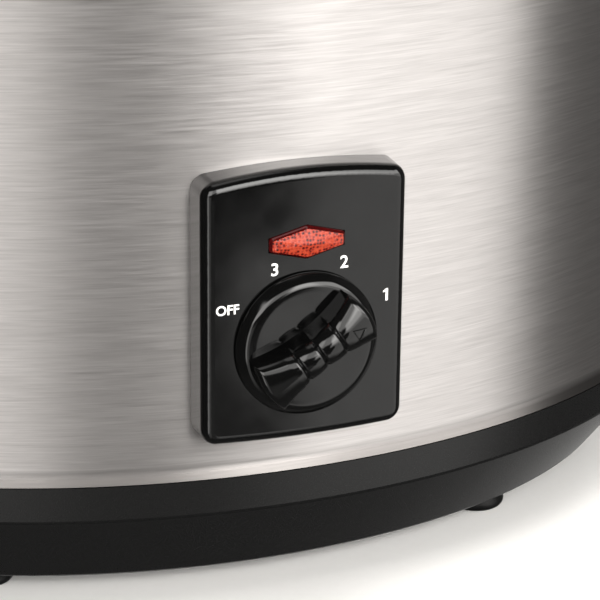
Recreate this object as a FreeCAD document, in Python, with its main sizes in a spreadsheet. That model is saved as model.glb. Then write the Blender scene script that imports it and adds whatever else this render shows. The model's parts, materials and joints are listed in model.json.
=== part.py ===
import FreeCAD
import Part
import Sketcher
import math
import os
from types import SimpleNamespace

# An oval slow cooker: a brushed steel wrap on a moulded base, a heated metal liner, a stoneware
# crock that lifts out, a glass lid, and a rotary control on a moulded panel.
# Millimetres, +Z up. The panel faces -Y. The origin is under the middle of the oval, on the
# surface that the feet stand on.

driving = {
    # the widest oval, where the wrap flares out over the base
    "half_length": 187.0,
    "half_width": 137.5,
    "sheet": 0.8,
    # room in fits: between a trimmed piece and the wrap, on a turning pin, round a fastener
    "fit_gap": 0.1,
    "slip_fit": 0.06,
    "hole_room": 0.2,
    # feet
    "foot_height": 6.0,
    "foot_radius": 8.5,
    "foot_x": 84.5,
    "foot_y": 85.5,
    "foot_edge": 1.2,
    "foot_taper": 0.9,
    "foot_stem": 3.0,
    "foot_barb": 1.2,
    "foot_barb_rise": 0.7,
    "foot_barb_tall": 3.5,
    # moulded base
    "under_inset": 23.0,
    "ridge_inset": 1.7,
    "ridge_height": 34.0,
    "ridge_round": 2.5,
    "rim_inset": 0.3,
    "rim_height": 46.0,
    "base_wall": 5.0,
    "base_floor": 2.5,
    "hollow_inset": 24.5,
    "hollow_knee": 34.8,
    "rib_inset": 3.0,
    "rib_root": 38.0,
    "rib_top": 52.0,
    "clamp_boss": 16.0,
    "clamp_wall": 3.0,
    "clamp_roof": 17.0,
    "vent_width": 4.0,
    "vent_length": 44.0,
    "vent_pitch": 10.0,
    "vent_start": 46.0,
    # stud, washer and nut that pull the liner down to the base
    "stud": 2.5,
    "stud_low": 8.2,
    "stud_washer": 6.5,
    "stud_washer_thick": 1.2,
    "stud_nut": 4.6,
    "stud_nut_thick": 4.0,
    # cord gland at the back of the base
    "gland_height": 22.5,
    "gland_face": 134.0,
    "gland_boss": 11.0,
    "gland_boss_length": 22.0,
    "gland_barrel": 6.0,
    "gland_length": 29.0,
    "gland_bore": 3.75,
    "gland_flange": 8.0,
    "gland_flange_thick": 2.5,
    "gland_round": 0.8,
    "gland_nut": 9.4,
    "gland_nut_thick": 4.5,
    # terminal block on the floor of the base
    "block_half": 14.0,
    "block_front": 72.0,
    "block_back": 86.0,
    "block_tall": 12.0,
    "block_pitch": 8.0,
    "block_screw": 1.9,
    "block_screw_tall": 3.0,
    "block_screw_sink": 4.5,
    "block_screw_slot": 0.6,
    "block_slot": 1.2,
    "block_slot_deep": 4.0,
    # steel wrap
    "wrap_inset": 2.0,
    "wrap_top": 198.0,
    "flare": 2.0,
    "window_half": 19.0,
    "window_low": 70.2,
    "window_high": 133.4,
    # heated liner
    "liner_inset": 28.0,
    "liner_foot_inset": 31.0,
    "liner_floor": 54.0,
    "liner_round": 14.0,
    "lip_inset": 0.9,
    "lip_drop": 4.0,
    "lip_round": 0.7,
    # heater band round the liner, its clamp bolt and its flat terminals
    "band_low": 66.0,
    "band_high": 116.0,
    "band_thick": 1.6,
    "band_stand_off": 0.2,
    "band_gap": 8.0,
    "ear_thick": 1.2,
    "ear_root": 107.6,
    "ear_tip": 122.0,
    "ear_half_tall": 11.0,
    "band_bolt": 2.0,
    "band_bolt_y": 116.0,
    "band_bolt_z": 91.0,
    "band_bolt_head": 3.6,
    "band_bolt_head_tall": 2.6,
    "band_bolt_tail": 6.0,
    "band_nut": 4.0,
    "band_nut_thick": 3.2,
    "tab_x": 32.0,
    "tab_low": 58.0,
    "tab_high": 72.0,
    "tab_wide": 6.2,
    "tab_thick": 0.8,
    "tab_stand_off": 0.25,
    # thermal fuse under the liner
    "fuse_x": 35.5,
    "fuse_y": -30.0,
    "fuse_drop": 2.6,
    "fuse_radius": 2.0,
    "fuse_length": 11.0,
    "fuse_lead": 0.5,
    "fuse_lead_length": 27.0,
    "fuse_clip_wide": 4.0,
    "fuse_clip_half": 4.5,
    "fuse_clip_drop": 5.4,
    "fuse_clip_thick": 0.7,
    # crock
    "crock_inset": 32.0,
    "crock_foot_inset": 36.0,
    "crock_floor": 57.0,
    "crock_wall": 7.5,
    "crock_base": 9.0,
    "crock_round": 16.0,
    "crock_inside_round": 14.0,
    "crock_rim_inset": 13.0,
    "crock_rim_low": 199.2,
    "crock_rim_high": 209.2,
    "crock_seat_inset": 29.5,
    "crock_seat": 205.2,
    "lug_radius": 40.0,
    "lug_x": 159.0,
    "lug_blend": 12.0,
    "crock_rim_round": 3.0,
    "crock_mouth_round": 1.5,
    # lid
    "lid_inset": 33.0,
    "lid_low": 205.6,
    "lid_thick": 4.0,
    "lid_rise": 28.0,
    "lid_band": 1.4,
    "lid_band_lap": 1.4,
    "lid_band_round": 0.9,
    "lid_washer": 1.2,
    "lid_washer_radius": 8.0,
    "lid_screw": 2.0,
    "lid_screw_bite": 13.5,
    "lid_screw_head": 5.0,
    "lid_screw_head_tall": 2.4,
    "lid_screw_round": 1.2,
    "lid_screw_slot": 1.2,
    "lid_knob_radius": 22.0,
    "lid_knob_neck": 11.5,
    "lid_knob_foot": 5.0,
    "lid_knob_foot_tall": 1.5,
    "lid_knob_waist": 8.5,
    "lid_knob_brow": 18.0,
    "lid_knob_shoulder": 24.5,
    "lid_knob_shoulder_in": 8.0,
    "lid_knob_tall": 26.0,
    # steam eyelet in the lid
    "vent_y": 62.0,
    "eyelet_hole": 3.0,
    "eyelet": 4.8,
    "eyelet_half_tall": 4.5,
    "eyelet_round": 1.0,
    "eyelet_way": 1.7,
    # control panel
    "panel_face": 144.7,
    "panel_back": 128.0,
    "panel_half": 32.1,
    "panel_low": 60.2,
    "panel_high": 141.3,
    "panel_arch": 2.8,
    "panel_sag": 1.2,
    "panel_draft": 2.0,
    "panel_corner": 5.0,
    "panel_edge": 3.5,
    "panel_wall": 2.4,
    "boss": 4.0,
    "boss_x": 24.0,
    "boss_low": 68.5,
    "boss_high": 133.0,
    "boss_blind": 1.0,
    "panel_screw": 1.5,
    "panel_screw_length": 8.0,
    "panel_screw_head": 3.0,
    "panel_screw_head_tall": 2.2,
    "panel_screw_seat": 133.2,
    "panel_screw_slot": 0.8,
    "panel_screw_slot_deep": 0.9,
    # indicator lens and the lamp behind it
    "lens_height": 121.4,
    "lens_half": 11.7,
    "lens_end": 2.1,
    "lens_mid": 5.1,
    "lens_proud": 1.8,
    "lens_room": 0.15,
    "lens_bevel": 0.9,
    "lens_behind": 2.8,
    "lens_flange": 1.5,
    "lens_flange_thick": 1.4,
    "lens_wall": 2.0,
    "lens_hollow": 5.0,
    "lamp_cup_half": 13.0,
    "lamp_cup_half_tall": 6.5,
    "lamp_cup_deep": 8.0,
    "lamp_room_half": 9.5,
    "lamp_room_half_tall": 3.6,
    "lamp_room_deep": 6.6,
    "neon_radius": 2.9,
    "neon_half": 6.5,
    "neon_behind": 3.4,
    "neon_round": 1.6,
    "lamp_lead": 0.7,
    "lamp_lead_x": 4.0,
    "lamp_lead_loop": 12.0,
    # rotary switch behind the panel
    "knob_height": 90.2,
    "knob_rest": 57.0,
    "switch_half": 18.0,
    "switch_half_tall": 16.0,
    "switch_deep": 17.0,
    "switch_corner": 1.5,
    "switch_back": 2.0,
    "switch_tab_pitch": 8.0,
    "switch_tab_length": 8.0,
    "switch_tab_y": 129.0,
    "switch_screw": 1.5,
    "switch_screw_x": 14.0,
    "switch_screw_length": 9.0,
    "switch_screw_pilot": 8.0,
    "switch_screw_head": 2.9,
    "switch_screw_head_tall": 1.4,
    "switch_screw_sink": 1.5,
    "shaft": 3.0,
    "shaft_hole": 4.5,
    "shaft_back": 16.6,
    "shaft_tip": 11.9,
    "shaft_flat": 1.0,
    "shaft_flat_start": 0.5,
    # knob
    "skirt_back": 0.6,
    "skirt_wide": 22.1,
    "skirt_land": 0.9,
    "skirt_front": 19.7,
    "skirt_tall": 5.5,
    "skirt_round": 0.7,
    "grip_root": 0.5,
    "grip_top": 14.3,
    "grip_end": 19.2,
    "grip_half_end": 9.2,
    "grip_half_mid": 6.3,
    "grip_draft": 12.0,
    "grip_crown": 52.0,
    "grip_round": 1.3,
    "groove_pitch": 6.5,
    "groove": 0.9,
    "groove_lift": 0.1,
    "knob_hub": 6.5,
    "knob_hollow": 18.5,
    "knob_hollow_deep": 3.0,
    "knob_bore_deep": 11.5,
    "knob_bore_flat": 0.6,
    # spring leaf between the shaft's flat and the bore's flat
    "leaf_half": 1.7,
    "leaf_low": 1.5,
    "leaf_high": 10.5,
    "leaf_round": 1.0,
    # carrying handles
    "handle_height": 165.0,
    "handle_tall": 22.0,
    "handle_root": 167.0,
    "handle_reach": 221.0,
    "handle_bar": 13.0,
    "handle_half": 52.0,
    "handle_foot": 15.0,
    "shoulder_back": 16.0,
    "shoulder_across": 20.0,
    "shoulder_flare": 4.0,
    "finger_back": 9.0,
    "finger_across": 10.0,
    "finger_flare": 1.0,
    "handle_outer_round": 16.0,
    "handle_inner_round": 7.0,
    "handle_edge": 4.0,
    "handle_screw": 2.0,
    "handle_screw_inset": 9.0,
    "handle_screw_bite": 9.0,
    "handle_screw_head": 3.8,
    "handle_screw_head_tall": 2.4,
    "handle_screw_stand_off": 0.15,
    # wires inside the base
    "wire": 1.1,
}

# counts, and how far a cutting tool runs past a face or right through a wall
vents_per_side = 5
flare_steps = 6
past = 1.0
through = 48.0

doc = FreeCAD.newDocument("slow_cooker")
sheet = doc.addObject("Spreadsheet::Sheet", "Dimensions")
for row, (alias, number) in enumerate(driving.items(), start=1):
    sheet.set(f"A{row}", alias)
    sheet.set(f"B{row}", str(number))
    sheet.setAlias(f"B{row}", alias)
doc.recompute()


class Size:
    # A length: its value in millimetres and the sheet expression that drives it.
    def __init__(self, value, text):
        self.value = float(value)
        self.text = text

    def joined(self, sign, other, value):
        return Size(value, f"({self.text} {sign} {other.text})")

    def __add__(self, other):
        other = as_size(other)
        return self.joined("+", other, self.value + other.value)

    def __sub__(self, other):
        other = as_size(other)
        return self.joined("-", other, self.value - other.value)

    def __mul__(self, other):
        other = as_size(other)
        return self.joined("*", other, self.value * other.value)

    def __truediv__(self, other):
        other = as_size(other)
        return self.joined("/", other, self.value / other.value)

    def __neg__(self):
        return as_size(0) - self

    def __radd__(self, other):
        return as_size(other) + self

    def __rsub__(self, other):
        return as_size(other) - self

    def __rmul__(self, other):
        return as_size(other) * self


def as_size(number):
    if isinstance(number, Size):
        return number
    return Size(number, f"({number:.6f})")


d = SimpleNamespace(**{alias: Size(number, f"Dimensions.{alias}") for alias, number in driving.items()})
vector = FreeCAD.Vector

# turns that point a part's own Z along another axis
along = {
    "+Z": FreeCAD.Rotation(),
    "+X": FreeCAD.Rotation(vector(0, 1, 0), 90),
    "+Y": FreeCAD.Rotation(vector(1, 0, 0), -90),
    "-Y": FreeCAD.Rotation(vector(1, 0, 0), 90),
}


def bind(item, path, number):
    item.setExpression(path, as_size(number).text)


def put(item, x, y, z, turn=None):
    if turn is not None:
        item.Placement = FreeCAD.Placement(vector(), turn)
    for axis, number in zip("xyz", (x, y, z)):
        bind(item, f"Placement.Base.{axis}", number)
    return item


def box(name, low, high):
    item = doc.addObject("Part::Box", name)
    for path, first, last in zip(("Length", "Width", "Height"), low, high):
        bind(item, path, as_size(last) - first)
    return put(item, *low)


def cylinder(name, radius, length, start, axis="+Z"):
    item = doc.addObject("Part::Cylinder", name)
    bind(item, "Radius", radius)
    bind(item, "Height", length)
    turn = along[axis] if isinstance(axis, str) else axis
    return put(item, *start, turn)


def fuse(name, *items):
    item = doc.addObject("Part::MultiFuse", name)
    item.Shapes = list(items)
    item.Refine = True
    return item


def cut(name, base, *tools):
    item = doc.addObject("Part::Cut", name)
    item.Base = base
    item.Tool = tools[0] if len(tools) == 1 else fuse(f"{name}_tools", *tools)
    item.Refine = True
    return item


def group(name, items):
    item = doc.addObject("Part::Compound", name)
    item.Links = list(items)
    return item


def ellipse_stack(name, sections, ruled=True):
    # A solid through level ellipses, each given as its half length, half width and height.
    rings = []
    for half_long, half_wide, height in sections:
        ring = doc.addObject("Part::Ellipse", f"{name}_ring")
        bind(ring, "MajorRadius", half_long)
        bind(ring, "MinorRadius", half_wide)
        bind(ring, "Placement.Base.z", height)
        rings.append(ring)
    loft = doc.addObject("Part::Loft", name)
    loft.Sections = rings
    loft.Solid = True
    loft.Ruled = ruled
    return loft


def oval(name, *sections):
    # A solid through ovals set in from the widest one: inset and height of each.
    return ellipse_stack(name, [(d.half_length - inset, d.half_width - inset, z) for inset, z in sections])


def rounded(name, base, radius, test):
    # A Part fillet on the edges that pass the test.
    doc.recompute()
    item = doc.addObject("Part::Fillet", name)
    item.Base = base
    size = as_size(radius).value
    item.Edges = [(i, size, size) for i, edge in enumerate(base.Shape.Edges, start=1) if test(edge)]
    return item


def level_at(*heights):
    # Picks level edges at the given heights.
    def test(edge):
        box_of = edge.BoundBox
        return box_of.ZLength < 0.01 and any(abs(box_of.ZMin - as_size(z).value) < 0.02 for z in heights)
    return test


def new_body(name):
    return doc.addObject("PartDesign::Body", name)


def sketch_on(body, plane, offset=0):
    sketch = body.newObject("Sketcher::SketchObject", f"{body.Name}_sketch")
    support = [feature for feature in body.Origin.OriginFeatures if feature.Role == plane]
    sketch.AttachmentSupport = [(support[0], "")]
    sketch.MapMode = "FlatFace"
    bind(sketch, "AttachmentOffset.Base.z", offset)
    return sketch


def hold(sketch, edge, end, x=None, y=None):
    # Ties a sketch point to the origin by sheet-driven distances.
    for kind, axis, number in (("DistanceX", -2, x), ("DistanceY", -1, y)):
        if number is None:
            continue
        size = as_size(number)
        if abs(size.value) < 1e-9:
            sketch.addConstraint(Sketcher.Constraint("PointOnObject", edge, end, axis))
            continue
        index = sketch.addConstraint(Sketcher.Constraint(kind, -1, 1, edge, end, size.value))
        bind(sketch, f"Constraints[{index}]", size)


def hold_radius(sketch, edge, radius):
    size = as_size(radius)
    index = sketch.addConstraint(Sketcher.Constraint("Radius", edge, size.value))
    bind(sketch, f"Constraints[{index}]", size)


def join_ends(sketch, edges):
    for edge, following in zip(edges, edges[1:] + edges[:1]):
        sketch.addConstraint(Sketcher.Constraint("Coincident", edge, 2, following, 1))


def polygon(sketch, corners):
    points = [vector(as_size(x).value, as_size(y).value, 0) for x, y in corners]
    ends = points[1:] + points[:1]
    edges = [sketch.addGeometry(Part.LineSegment(a, b), False) for a, b in zip(points, ends)]
    join_ends(sketch, edges)
    for edge, (x, y) in zip(edges, corners):
        hold(sketch, edge, 1, x, y)
    return sketch


def circle(sketch, radius, x=0, y=0):
    centre = vector(as_size(x).value, as_size(y).value, 0)
    edge = sketch.addGeometry(Part.Circle(centre, vector(0, 0, 1), as_size(radius).value), False)
    hold_radius(sketch, edge, radius)
    hold(sketch, edge, 3, x, y)
    return sketch


def arc_through(sketch, a, b, c):
    return sketch.addGeometry(Part.Arc(a, b, c), False)


def arch_radius(half_chord, rise):
    return (half_chord * half_chord + rise * rise) / (2 * rise)


def pad(body, sketch, length, reverse=False, taper=0):
    item = body.newObject("PartDesign::Pad", f"{body.Name}_pad")
    item.Profile = sketch
    bind(item, "Length", length)
    item.Reversed = reverse
    if as_size(taper).value:
        bind(item, "TaperAngle", taper)
    return item


def pocket(body, sketch, length=None, reverse=False, both=False):
    item = body.newObject("PartDesign::Pocket", f"{body.Name}_pocket")
    item.Profile = sketch
    item.Reversed = reverse
    item.Midplane = both
    if length is None:
        item.Type = "ThroughAll"
    else:
        bind(item, "Length", length)
    return item


def revolve(body, corners):
    # Turns a profile of radius and height round the body's Z axis.
    sketch = polygon(sketch_on(body, "XZ_Plane"), corners)
    item = body.newObject("PartDesign::Revolution", f"{body.Name}_turned")
    item.Profile = sketch
    item.ReferenceAxis = (sketch, ["V_Axis"])
    item.Angle = 360
    return item


def soften(body, base, radius, test, kind="Fillet"):
    # A PartDesign fillet or chamfer on the edges that pass the test.
    doc.recompute()
    names = [f"Edge{i}" for i, edge in enumerate(base.Shape.Edges, start=1) if test(edge)]
    item = body.newObject(f"PartDesign::{kind}", f"{body.Name}_edge")
    item.Base = (base, names)
    bind(item, "Radius" if kind == "Fillet" else "Size", radius)
    return item


def turned_ring(edge, radius, height):
    # True for a full circle about the body's own Z axis.
    box_of = edge.BoundBox
    level = box_of.ZLength < 0.01 and abs(box_of.ZMin - as_size(height).value) < 0.02
    return level and abs(box_of.XLength / 2 - as_size(radius).value) < 0.05


def wrap_gauge(name):
    # The outside of the wrap, used to trim what seats against it.
    inset = d.wrap_inset - d.fit_gap
    return oval(name, (inset, d.rim_height), (inset, d.wrap_top))


def base_tray():
    floor_top = d.foot_height + d.base_floor
    body = oval(
        "base_body",
        (d.under_inset, d.foot_height),
        (d.ridge_inset, d.ridge_height),
        (d.rim_inset, d.rim_height),
    )
    body = rounded("base_body_round", body, d.ridge_round, level_at(d.foot_height, d.ridge_height))
    rib = oval("base_rib", (d.rib_inset, d.rib_root), (d.rib_inset, d.rib_top))
    hollow = oval(
        "base_hollow",
        (d.hollow_inset, floor_top),
        (d.base_wall, d.hollow_knee),
        (d.base_wall, d.rib_top),
    )
    tub = cut("base_tub", fuse("base_outside", body, rib), hollow)
    clamp = cylinder("base_clamp_boss", d.clamp_boss, d.clamp_roof - d.foot_height, (0, 0, d.foot_height))
    gland_inner = (0, d.gland_face - d.gland_boss_length, d.gland_height)
    gland = cylinder("base_gland_boss", d.gland_boss, d.gland_boss_length, gland_inner, "+Y")
    tools = [
        cylinder("base_clamp_recess", d.clamp_boss - d.clamp_wall, d.clamp_roof - d.base_floor, (0, 0, 0)),
        cylinder("base_clamp_hole", d.stud + d.hole_room, d.clamp_roof + past, (0, 0, 0)),
        cylinder("base_gland_hole", d.gland_barrel + d.slip_fit, through, gland_inner, "+Y"),
    ]
    for side_x in (-1, 1):
        for side_y in (-1, 1):
            place = (side_x * d.foot_x, side_y * d.foot_y, 0)
            tools.append(cylinder("base_foot_hole", d.foot_stem + d.fit_gap, floor_top + past, place))
        for step in range(vents_per_side):
            middle = side_x * (d.vent_start + step * d.vent_pitch)
            low = (middle - d.vent_width / 2, -d.vent_length / 2, 0)
            high = (middle + d.vent_width / 2, d.vent_length / 2, floor_top + past)
            tools.append(box("base_vent", low, high))
    return cut("base_tray", fuse("base_with_bosses", tub, clamp, gland), *tools)


def feet():
    floor = d.foot_height
    barb = floor + d.base_floor
    profile = [
        (0, 0),
        (d.foot_radius - d.foot_edge, 0),
        (d.foot_radius, d.foot_edge),
        (d.foot_radius - d.foot_taper, floor),
        (d.foot_stem, floor),
        (d.foot_stem, barb),
        (d.foot_stem + d.foot_barb, barb + d.foot_barb_rise),
        (d.foot_stem - d.foot_barb / 2, barb + d.foot_barb_tall),
        (0, barb + d.foot_barb_tall),
    ]
    made = []
    for end, side_y in (("front", -1), ("rear", 1)):
        for hand, side_x in (("left", -1), ("right", 1)):
            foot = new_body(f"foot_{end}_{hand}")
            revolve(foot, profile)
            made.append(put(foot, side_x * d.foot_x, side_y * d.foot_y, 0))
    return made


handle_sides = (("right", 1), ("left", -1))


def handle_screw_seats():
    # Where each handle screw crosses the wrap, and the way its shank points.
    half_long = (d.half_length - d.wrap_inset).value
    half_wide = (d.half_width - d.wrap_inset).value
    across = (d.handle_half - d.handle_screw_inset).value
    reach = half_long * math.sqrt(1 - (across / half_wide) ** 2)
    seats = []
    for _, side_x in handle_sides:
        for side_y in (-1, 1):
            point = vector(side_x * reach, side_y * across, d.handle_height.value)
            normal = vector(point.x / half_long ** 2, point.y / half_wide ** 2, 0).normalize()
            seats.append((point, normal))
    return seats


def on_seat(name, radius, low, high, point, normal):
    # A cylinder along a screw's line, from low to high measured outwards from the wrap.
    start = point + normal * as_size(low).value
    turn = FreeCAD.Rotation(vector(0, 0, 1), normal)
    return cylinder(name, radius, as_size(high) - low, tuple(start), turn)


def panel_screw_places():
    return [(side * d.boss_x, z) for side in (-1, 1) for z in (d.boss_low, d.boss_high)]


def outer_shell():
    bend = [math.pi / 2 * step / flare_steps for step in range(flare_steps + 1)]
    curl = [(d.flare * math.sin(turn), d.rim_height + d.flare * (1 - math.cos(turn))) for turn in bend]
    outside = [(0, d.rim_height)]
    outside += [(inset, z + d.sheet) for inset, z in curl]
    outside += [(d.wrap_inset, d.wrap_top)]
    inside = [(inset + d.sheet, z) for inset, z in curl]
    inside += [(d.wrap_inset + d.sheet, d.wrap_top)]
    tools = [oval("shell_inside", *inside)]
    front = -d.half_width - past
    window_low = (-d.window_half, front, d.window_low)
    window_high = (d.window_half, front + through, d.window_high)
    tools.append(box("shell_window", window_low, window_high))
    for x, z in panel_screw_places():
        tools.append(cylinder("shell_screw_hole", d.panel_screw + d.hole_room, through, (x, front, z), "+Y"))
    for point, normal in handle_screw_seats():
        hole = d.handle_screw + d.hole_room
        tools.append(on_seat("shell_handle_hole", hole, -through / 8, through / 8, point, normal))
    return cut("outer_shell", oval("shell_outside", *outside), *tools)


def liner_inset_at(height):
    slope = (d.liner_foot_inset - d.liner_inset) / (d.wrap_top + d.sheet - d.liner_floor)
    return d.liner_foot_inset - slope * (height - d.liner_floor)


def inner_liner():
    top = d.wrap_top + d.sheet
    tub = oval("liner_outside", (d.liner_foot_inset, d.liner_floor), (d.liner_inset, top))
    tub = rounded("liner_outside_round", tub, d.liner_round, level_at(d.liner_floor))
    lip_low = d.wrap_top - d.lip_drop
    plate = oval("liner_rim", (d.lip_inset, lip_low), (d.lip_inset, top))
    plate = rounded("liner_rim_round", plate, d.lip_round, level_at(top))
    under_inset = d.lip_inset + d.sheet
    under = oval("liner_rim_under", (under_inset, lip_low), (under_inset, d.wrap_top))
    floor = d.liner_floor + d.sheet
    inside = oval("liner_inside", (d.liner_foot_inset + d.sheet, floor), (d.liner_inset + d.sheet, top))
    inside = rounded("liner_inside_round", inside, d.liner_round - d.sheet, level_at(floor))
    return cut("inner_liner", fuse("liner_blank", tub, cut("liner_flange", plate, under)), inside)


def heater_band():
    low = liner_inset_at(d.band_low) - d.band_stand_off
    high = liner_inset_at(d.band_high) - d.band_stand_off
    outside = oval("band_outside", (low - d.band_thick, d.band_low), (high - d.band_thick, d.band_high))
    inside = oval("band_inside", (low, d.band_low), (high, d.band_high))
    gap = box("band_gap_box", (-d.band_gap, 0, d.band_low), (d.band_gap, d.half_width, d.band_high))
    strip = cut("band_strip", outside, inside, gap)
    ears = []
    for near in (-d.band_gap - d.ear_thick, d.band_gap):
        low_corner = (near, d.ear_root, d.band_bolt_z - d.ear_half_tall)
        high_corner = (near + d.ear_thick, d.ear_tip, d.band_bolt_z + d.ear_half_tall)
        ears.append(box("band_ear", low_corner, high_corner))
    start = (-through / 2, d.band_bolt_y, d.band_bolt_z)
    hole = cylinder("band_ear_hole", d.band_bolt + d.hole_room, through, start, "+X")
    return cut("heater_band", fuse("band_blank", strip, *ears), hole)


def heater_tab_places():
    # Where each flat terminal sits on the band's outside, and the way it faces.
    inset = (liner_inset_at(d.band_low) - d.band_stand_off - d.band_thick).value
    half_long, half_wide = d.half_length.value - inset, d.half_width.value - inset
    x = d.tab_x.value
    y = half_wide * math.sqrt(1 - (x / half_long) ** 2)
    places = []
    for side_x, side_y in ((-1, -1), (1, -1), (1, 1)):
        point = vector(side_x * x, side_y * y, 0)
        normal = vector(point.x / half_long ** 2, point.y / half_wide ** 2, 0).normalize()
        places.append((point, normal))
    return places


def heater_terminals():
    tabs = []
    for point, normal in heater_tab_places():
        turn = FreeCAD.Rotation(vector(1, 0, 0), normal)
        aside = turn.multVec(vector(0, -d.tab_wide.value / 2, 0))
        corner = point + normal * d.tab_stand_off.value + aside
        tab = box("heater_tab", (0, 0, 0), (d.tab_thick, d.tab_wide, d.tab_high - d.tab_low))
        tabs.append(put(tab, corner.x, corner.y, d.tab_low, turn))
    return group("heater_terminals", tabs)


def hex_nut(name, across_corners, thick, hole, start, axis):
    # A plain nut: a six-sided prism with a round hole along its axis.
    blank = doc.addObject("Part::Prism", f"{name}_blank")
    blank.Polygon = 6
    bind(blank, "Circumradius", across_corners)
    bind(blank, "Height", thick)
    put(blank, *start, along[axis])
    return cut(name, blank, cylinder(f"{name}_hole", hole, thick, start, axis))


def heater_clamp_bolt():
    seat = d.band_gap + d.ear_thick
    y, z = d.band_bolt_y, d.band_bolt_z
    tail = -seat - d.band_bolt_tail
    shank = cylinder("clamp_bolt_shank", d.band_bolt, seat - tail, (tail, y, z), "+X")
    head = cylinder("clamp_bolt_head", d.band_bolt_head, d.band_bolt_head_tall, (seat, y, z), "+X")
    nut_start = (-seat - d.band_nut_thick, y, z)
    nut = hex_nut("clamp_bolt_nut", d.band_nut, d.band_nut_thick, d.band_bolt, nut_start, "+X")
    return group("heater_clamp_bolt", [fuse("clamp_bolt", shank, head), nut])


def thermal_fuse():
    y, z = d.fuse_y, d.liner_floor - d.fuse_drop
    parts = []
    for name, radius, length in (
        ("fuse_case", d.fuse_radius, d.fuse_length),
        ("fuse_lead", d.fuse_lead, d.fuse_lead_length),
    ):
        parts.append(cylinder(name, radius, length, (d.fuse_x - length / 2, y, z), "+X"))
    return fuse("thermal_fuse", *parts)


def fuse_clip():
    # A strap bent into a tray, with its open side against the liner.
    x, y, top = d.fuse_x, d.fuse_y, d.liner_floor
    half, reach, drop = d.fuse_clip_wide / 2, d.fuse_clip_half, d.fuse_clip_drop
    strap = box("fuse_clip_outside", (x - half, y - reach, top - drop), (x + half, y + reach, top))
    reach, drop = reach - d.fuse_clip_thick, drop - d.fuse_clip_thick
    low, high = (x - half - past, y - reach, top - drop), (x + half + past, y + reach, top)
    return cut("fuse_clip", strap, box("fuse_clip_room", low, high))


def clamp_parts():
    roof = d.clamp_roof - d.base_floor
    stud = cylinder("clamp_stud", d.stud, d.liner_floor - d.stud_low, (0, 0, d.stud_low))
    washer_start = (0, 0, roof - d.stud_washer_thick)
    disc = cylinder("clamp_washer_disc", d.stud_washer, d.stud_washer_thick, washer_start)
    hole = cylinder("clamp_washer_hole", d.stud + d.hole_room, d.stud_washer_thick, washer_start)
    washer = cut("clamp_washer", disc, hole)
    nut_start = (0, 0, roof - d.stud_washer_thick - d.stud_nut_thick)
    nut = hex_nut("clamp_nut", d.stud_nut, d.stud_nut_thick, d.stud, nut_start, "+Z")
    return [stud, washer, nut]


def cord_gland():
    # A flanged sleeve: it lines the hole in the base that a round lead comes through.
    face = (0, d.gland_face, d.gland_height)
    inner = (0, d.gland_face - d.gland_length, d.gland_height)
    flange = cylinder("gland_flange", d.gland_flange, d.gland_flange_thick, face, "+Y")
    barrel = cylinder("gland_barrel_tube", d.gland_barrel, d.gland_length, inner, "+Y")
    bore = cylinder("gland_bore_hole", d.gland_bore, through, inner, "+Y")

    def mouth(edge):
        outer = (d.gland_face + d.gland_flange_thick).value
        return abs(edge.BoundBox.YMin - outer) < 0.01 and edge.BoundBox.YLength < 0.01

    sleeve = rounded("gland_rim", fuse("gland_blank", flange, barrel), d.gland_round, mouth)
    return cut("cord_gland", sleeve, bore)


def gland_nut():
    y = d.gland_face - d.gland_boss_length - d.gland_nut_thick
    start = (0, y, d.gland_height)
    return hex_nut("gland_nut", d.gland_nut, d.gland_nut_thick, d.gland_barrel, start, "+Y")


def terminal_places():
    # The middle of each screw's seat in the terminal block.
    seat = d.foot_height + d.base_floor + d.block_tall - d.block_screw_sink
    middle = (d.block_front + d.block_back) / 2
    return [(step * d.block_pitch, middle, seat) for step in (-1, 0, 1)]


def terminal_block():
    floor = d.foot_height + d.base_floor
    top = floor + d.block_tall
    block = box("terminal_body", (-d.block_half, d.block_front, floor), (d.block_half, d.block_back, top))
    room = d.block_screw + d.fit_gap
    tools = [cylinder("terminal_screw_room", room, d.block_tall, place) for place in terminal_places()]
    for side in (-1, 1):
        x = side * d.block_pitch / 2
        low = (x - d.block_slot / 2, d.block_front - past, top - d.block_slot_deep)
        high = (x + d.block_slot / 2, d.block_back + past, top + past)
        tools.append(box("terminal_slot", low, high))
    return cut("terminal_block", block, *tools)


def terminal_screws():
    screws = []
    for x, y, z in terminal_places():
        top = z + d.block_screw_tall
        head = cylinder("terminal_screw_head", d.block_screw, d.block_screw_tall, (x, y, z))
        half = d.block_screw_slot / 2
        low = (x - d.block_screw - past, y - half, top - d.block_screw_slot)
        high = (x + d.block_screw + past, y + half, top + past)
        screws.append(cut("terminal_screw", head, box("terminal_screw_slot", low, high)))
    return group("terminal_screws", screws)


def arched_outline(sketch, half, low, high, sag, arch):
    # Straight sides joined by a shallow arc over the top and another under the bottom.
    w, zl, zh = half.value, low.value, high.value
    bottom_mid, top_mid = zl - sag.value, zh + arch.value
    left = sketch.addGeometry(Part.LineSegment(vector(-w, zh, 0), vector(-w, zl, 0)), False)
    bottom = arc_through(sketch, vector(-w, zl, 0), vector(0, bottom_mid, 0), vector(w, zl, 0))
    right = sketch.addGeometry(Part.LineSegment(vector(w, zl, 0), vector(w, zh, 0)), False)
    top = arc_through(sketch, vector(w, zh, 0), vector(0, top_mid, 0), vector(-w, zh, 0))
    join_ends(sketch, [left, bottom, right, top])
    hold(sketch, left, 1, -half, high)
    hold(sketch, left, 2, -half, low)
    hold(sketch, right, 1, half, low)
    hold(sketch, right, 2, half, high)
    hold_radius(sketch, bottom, arch_radius(half, sag))
    hold_radius(sketch, top, arch_radius(half, arch))
    return sketch


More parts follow.
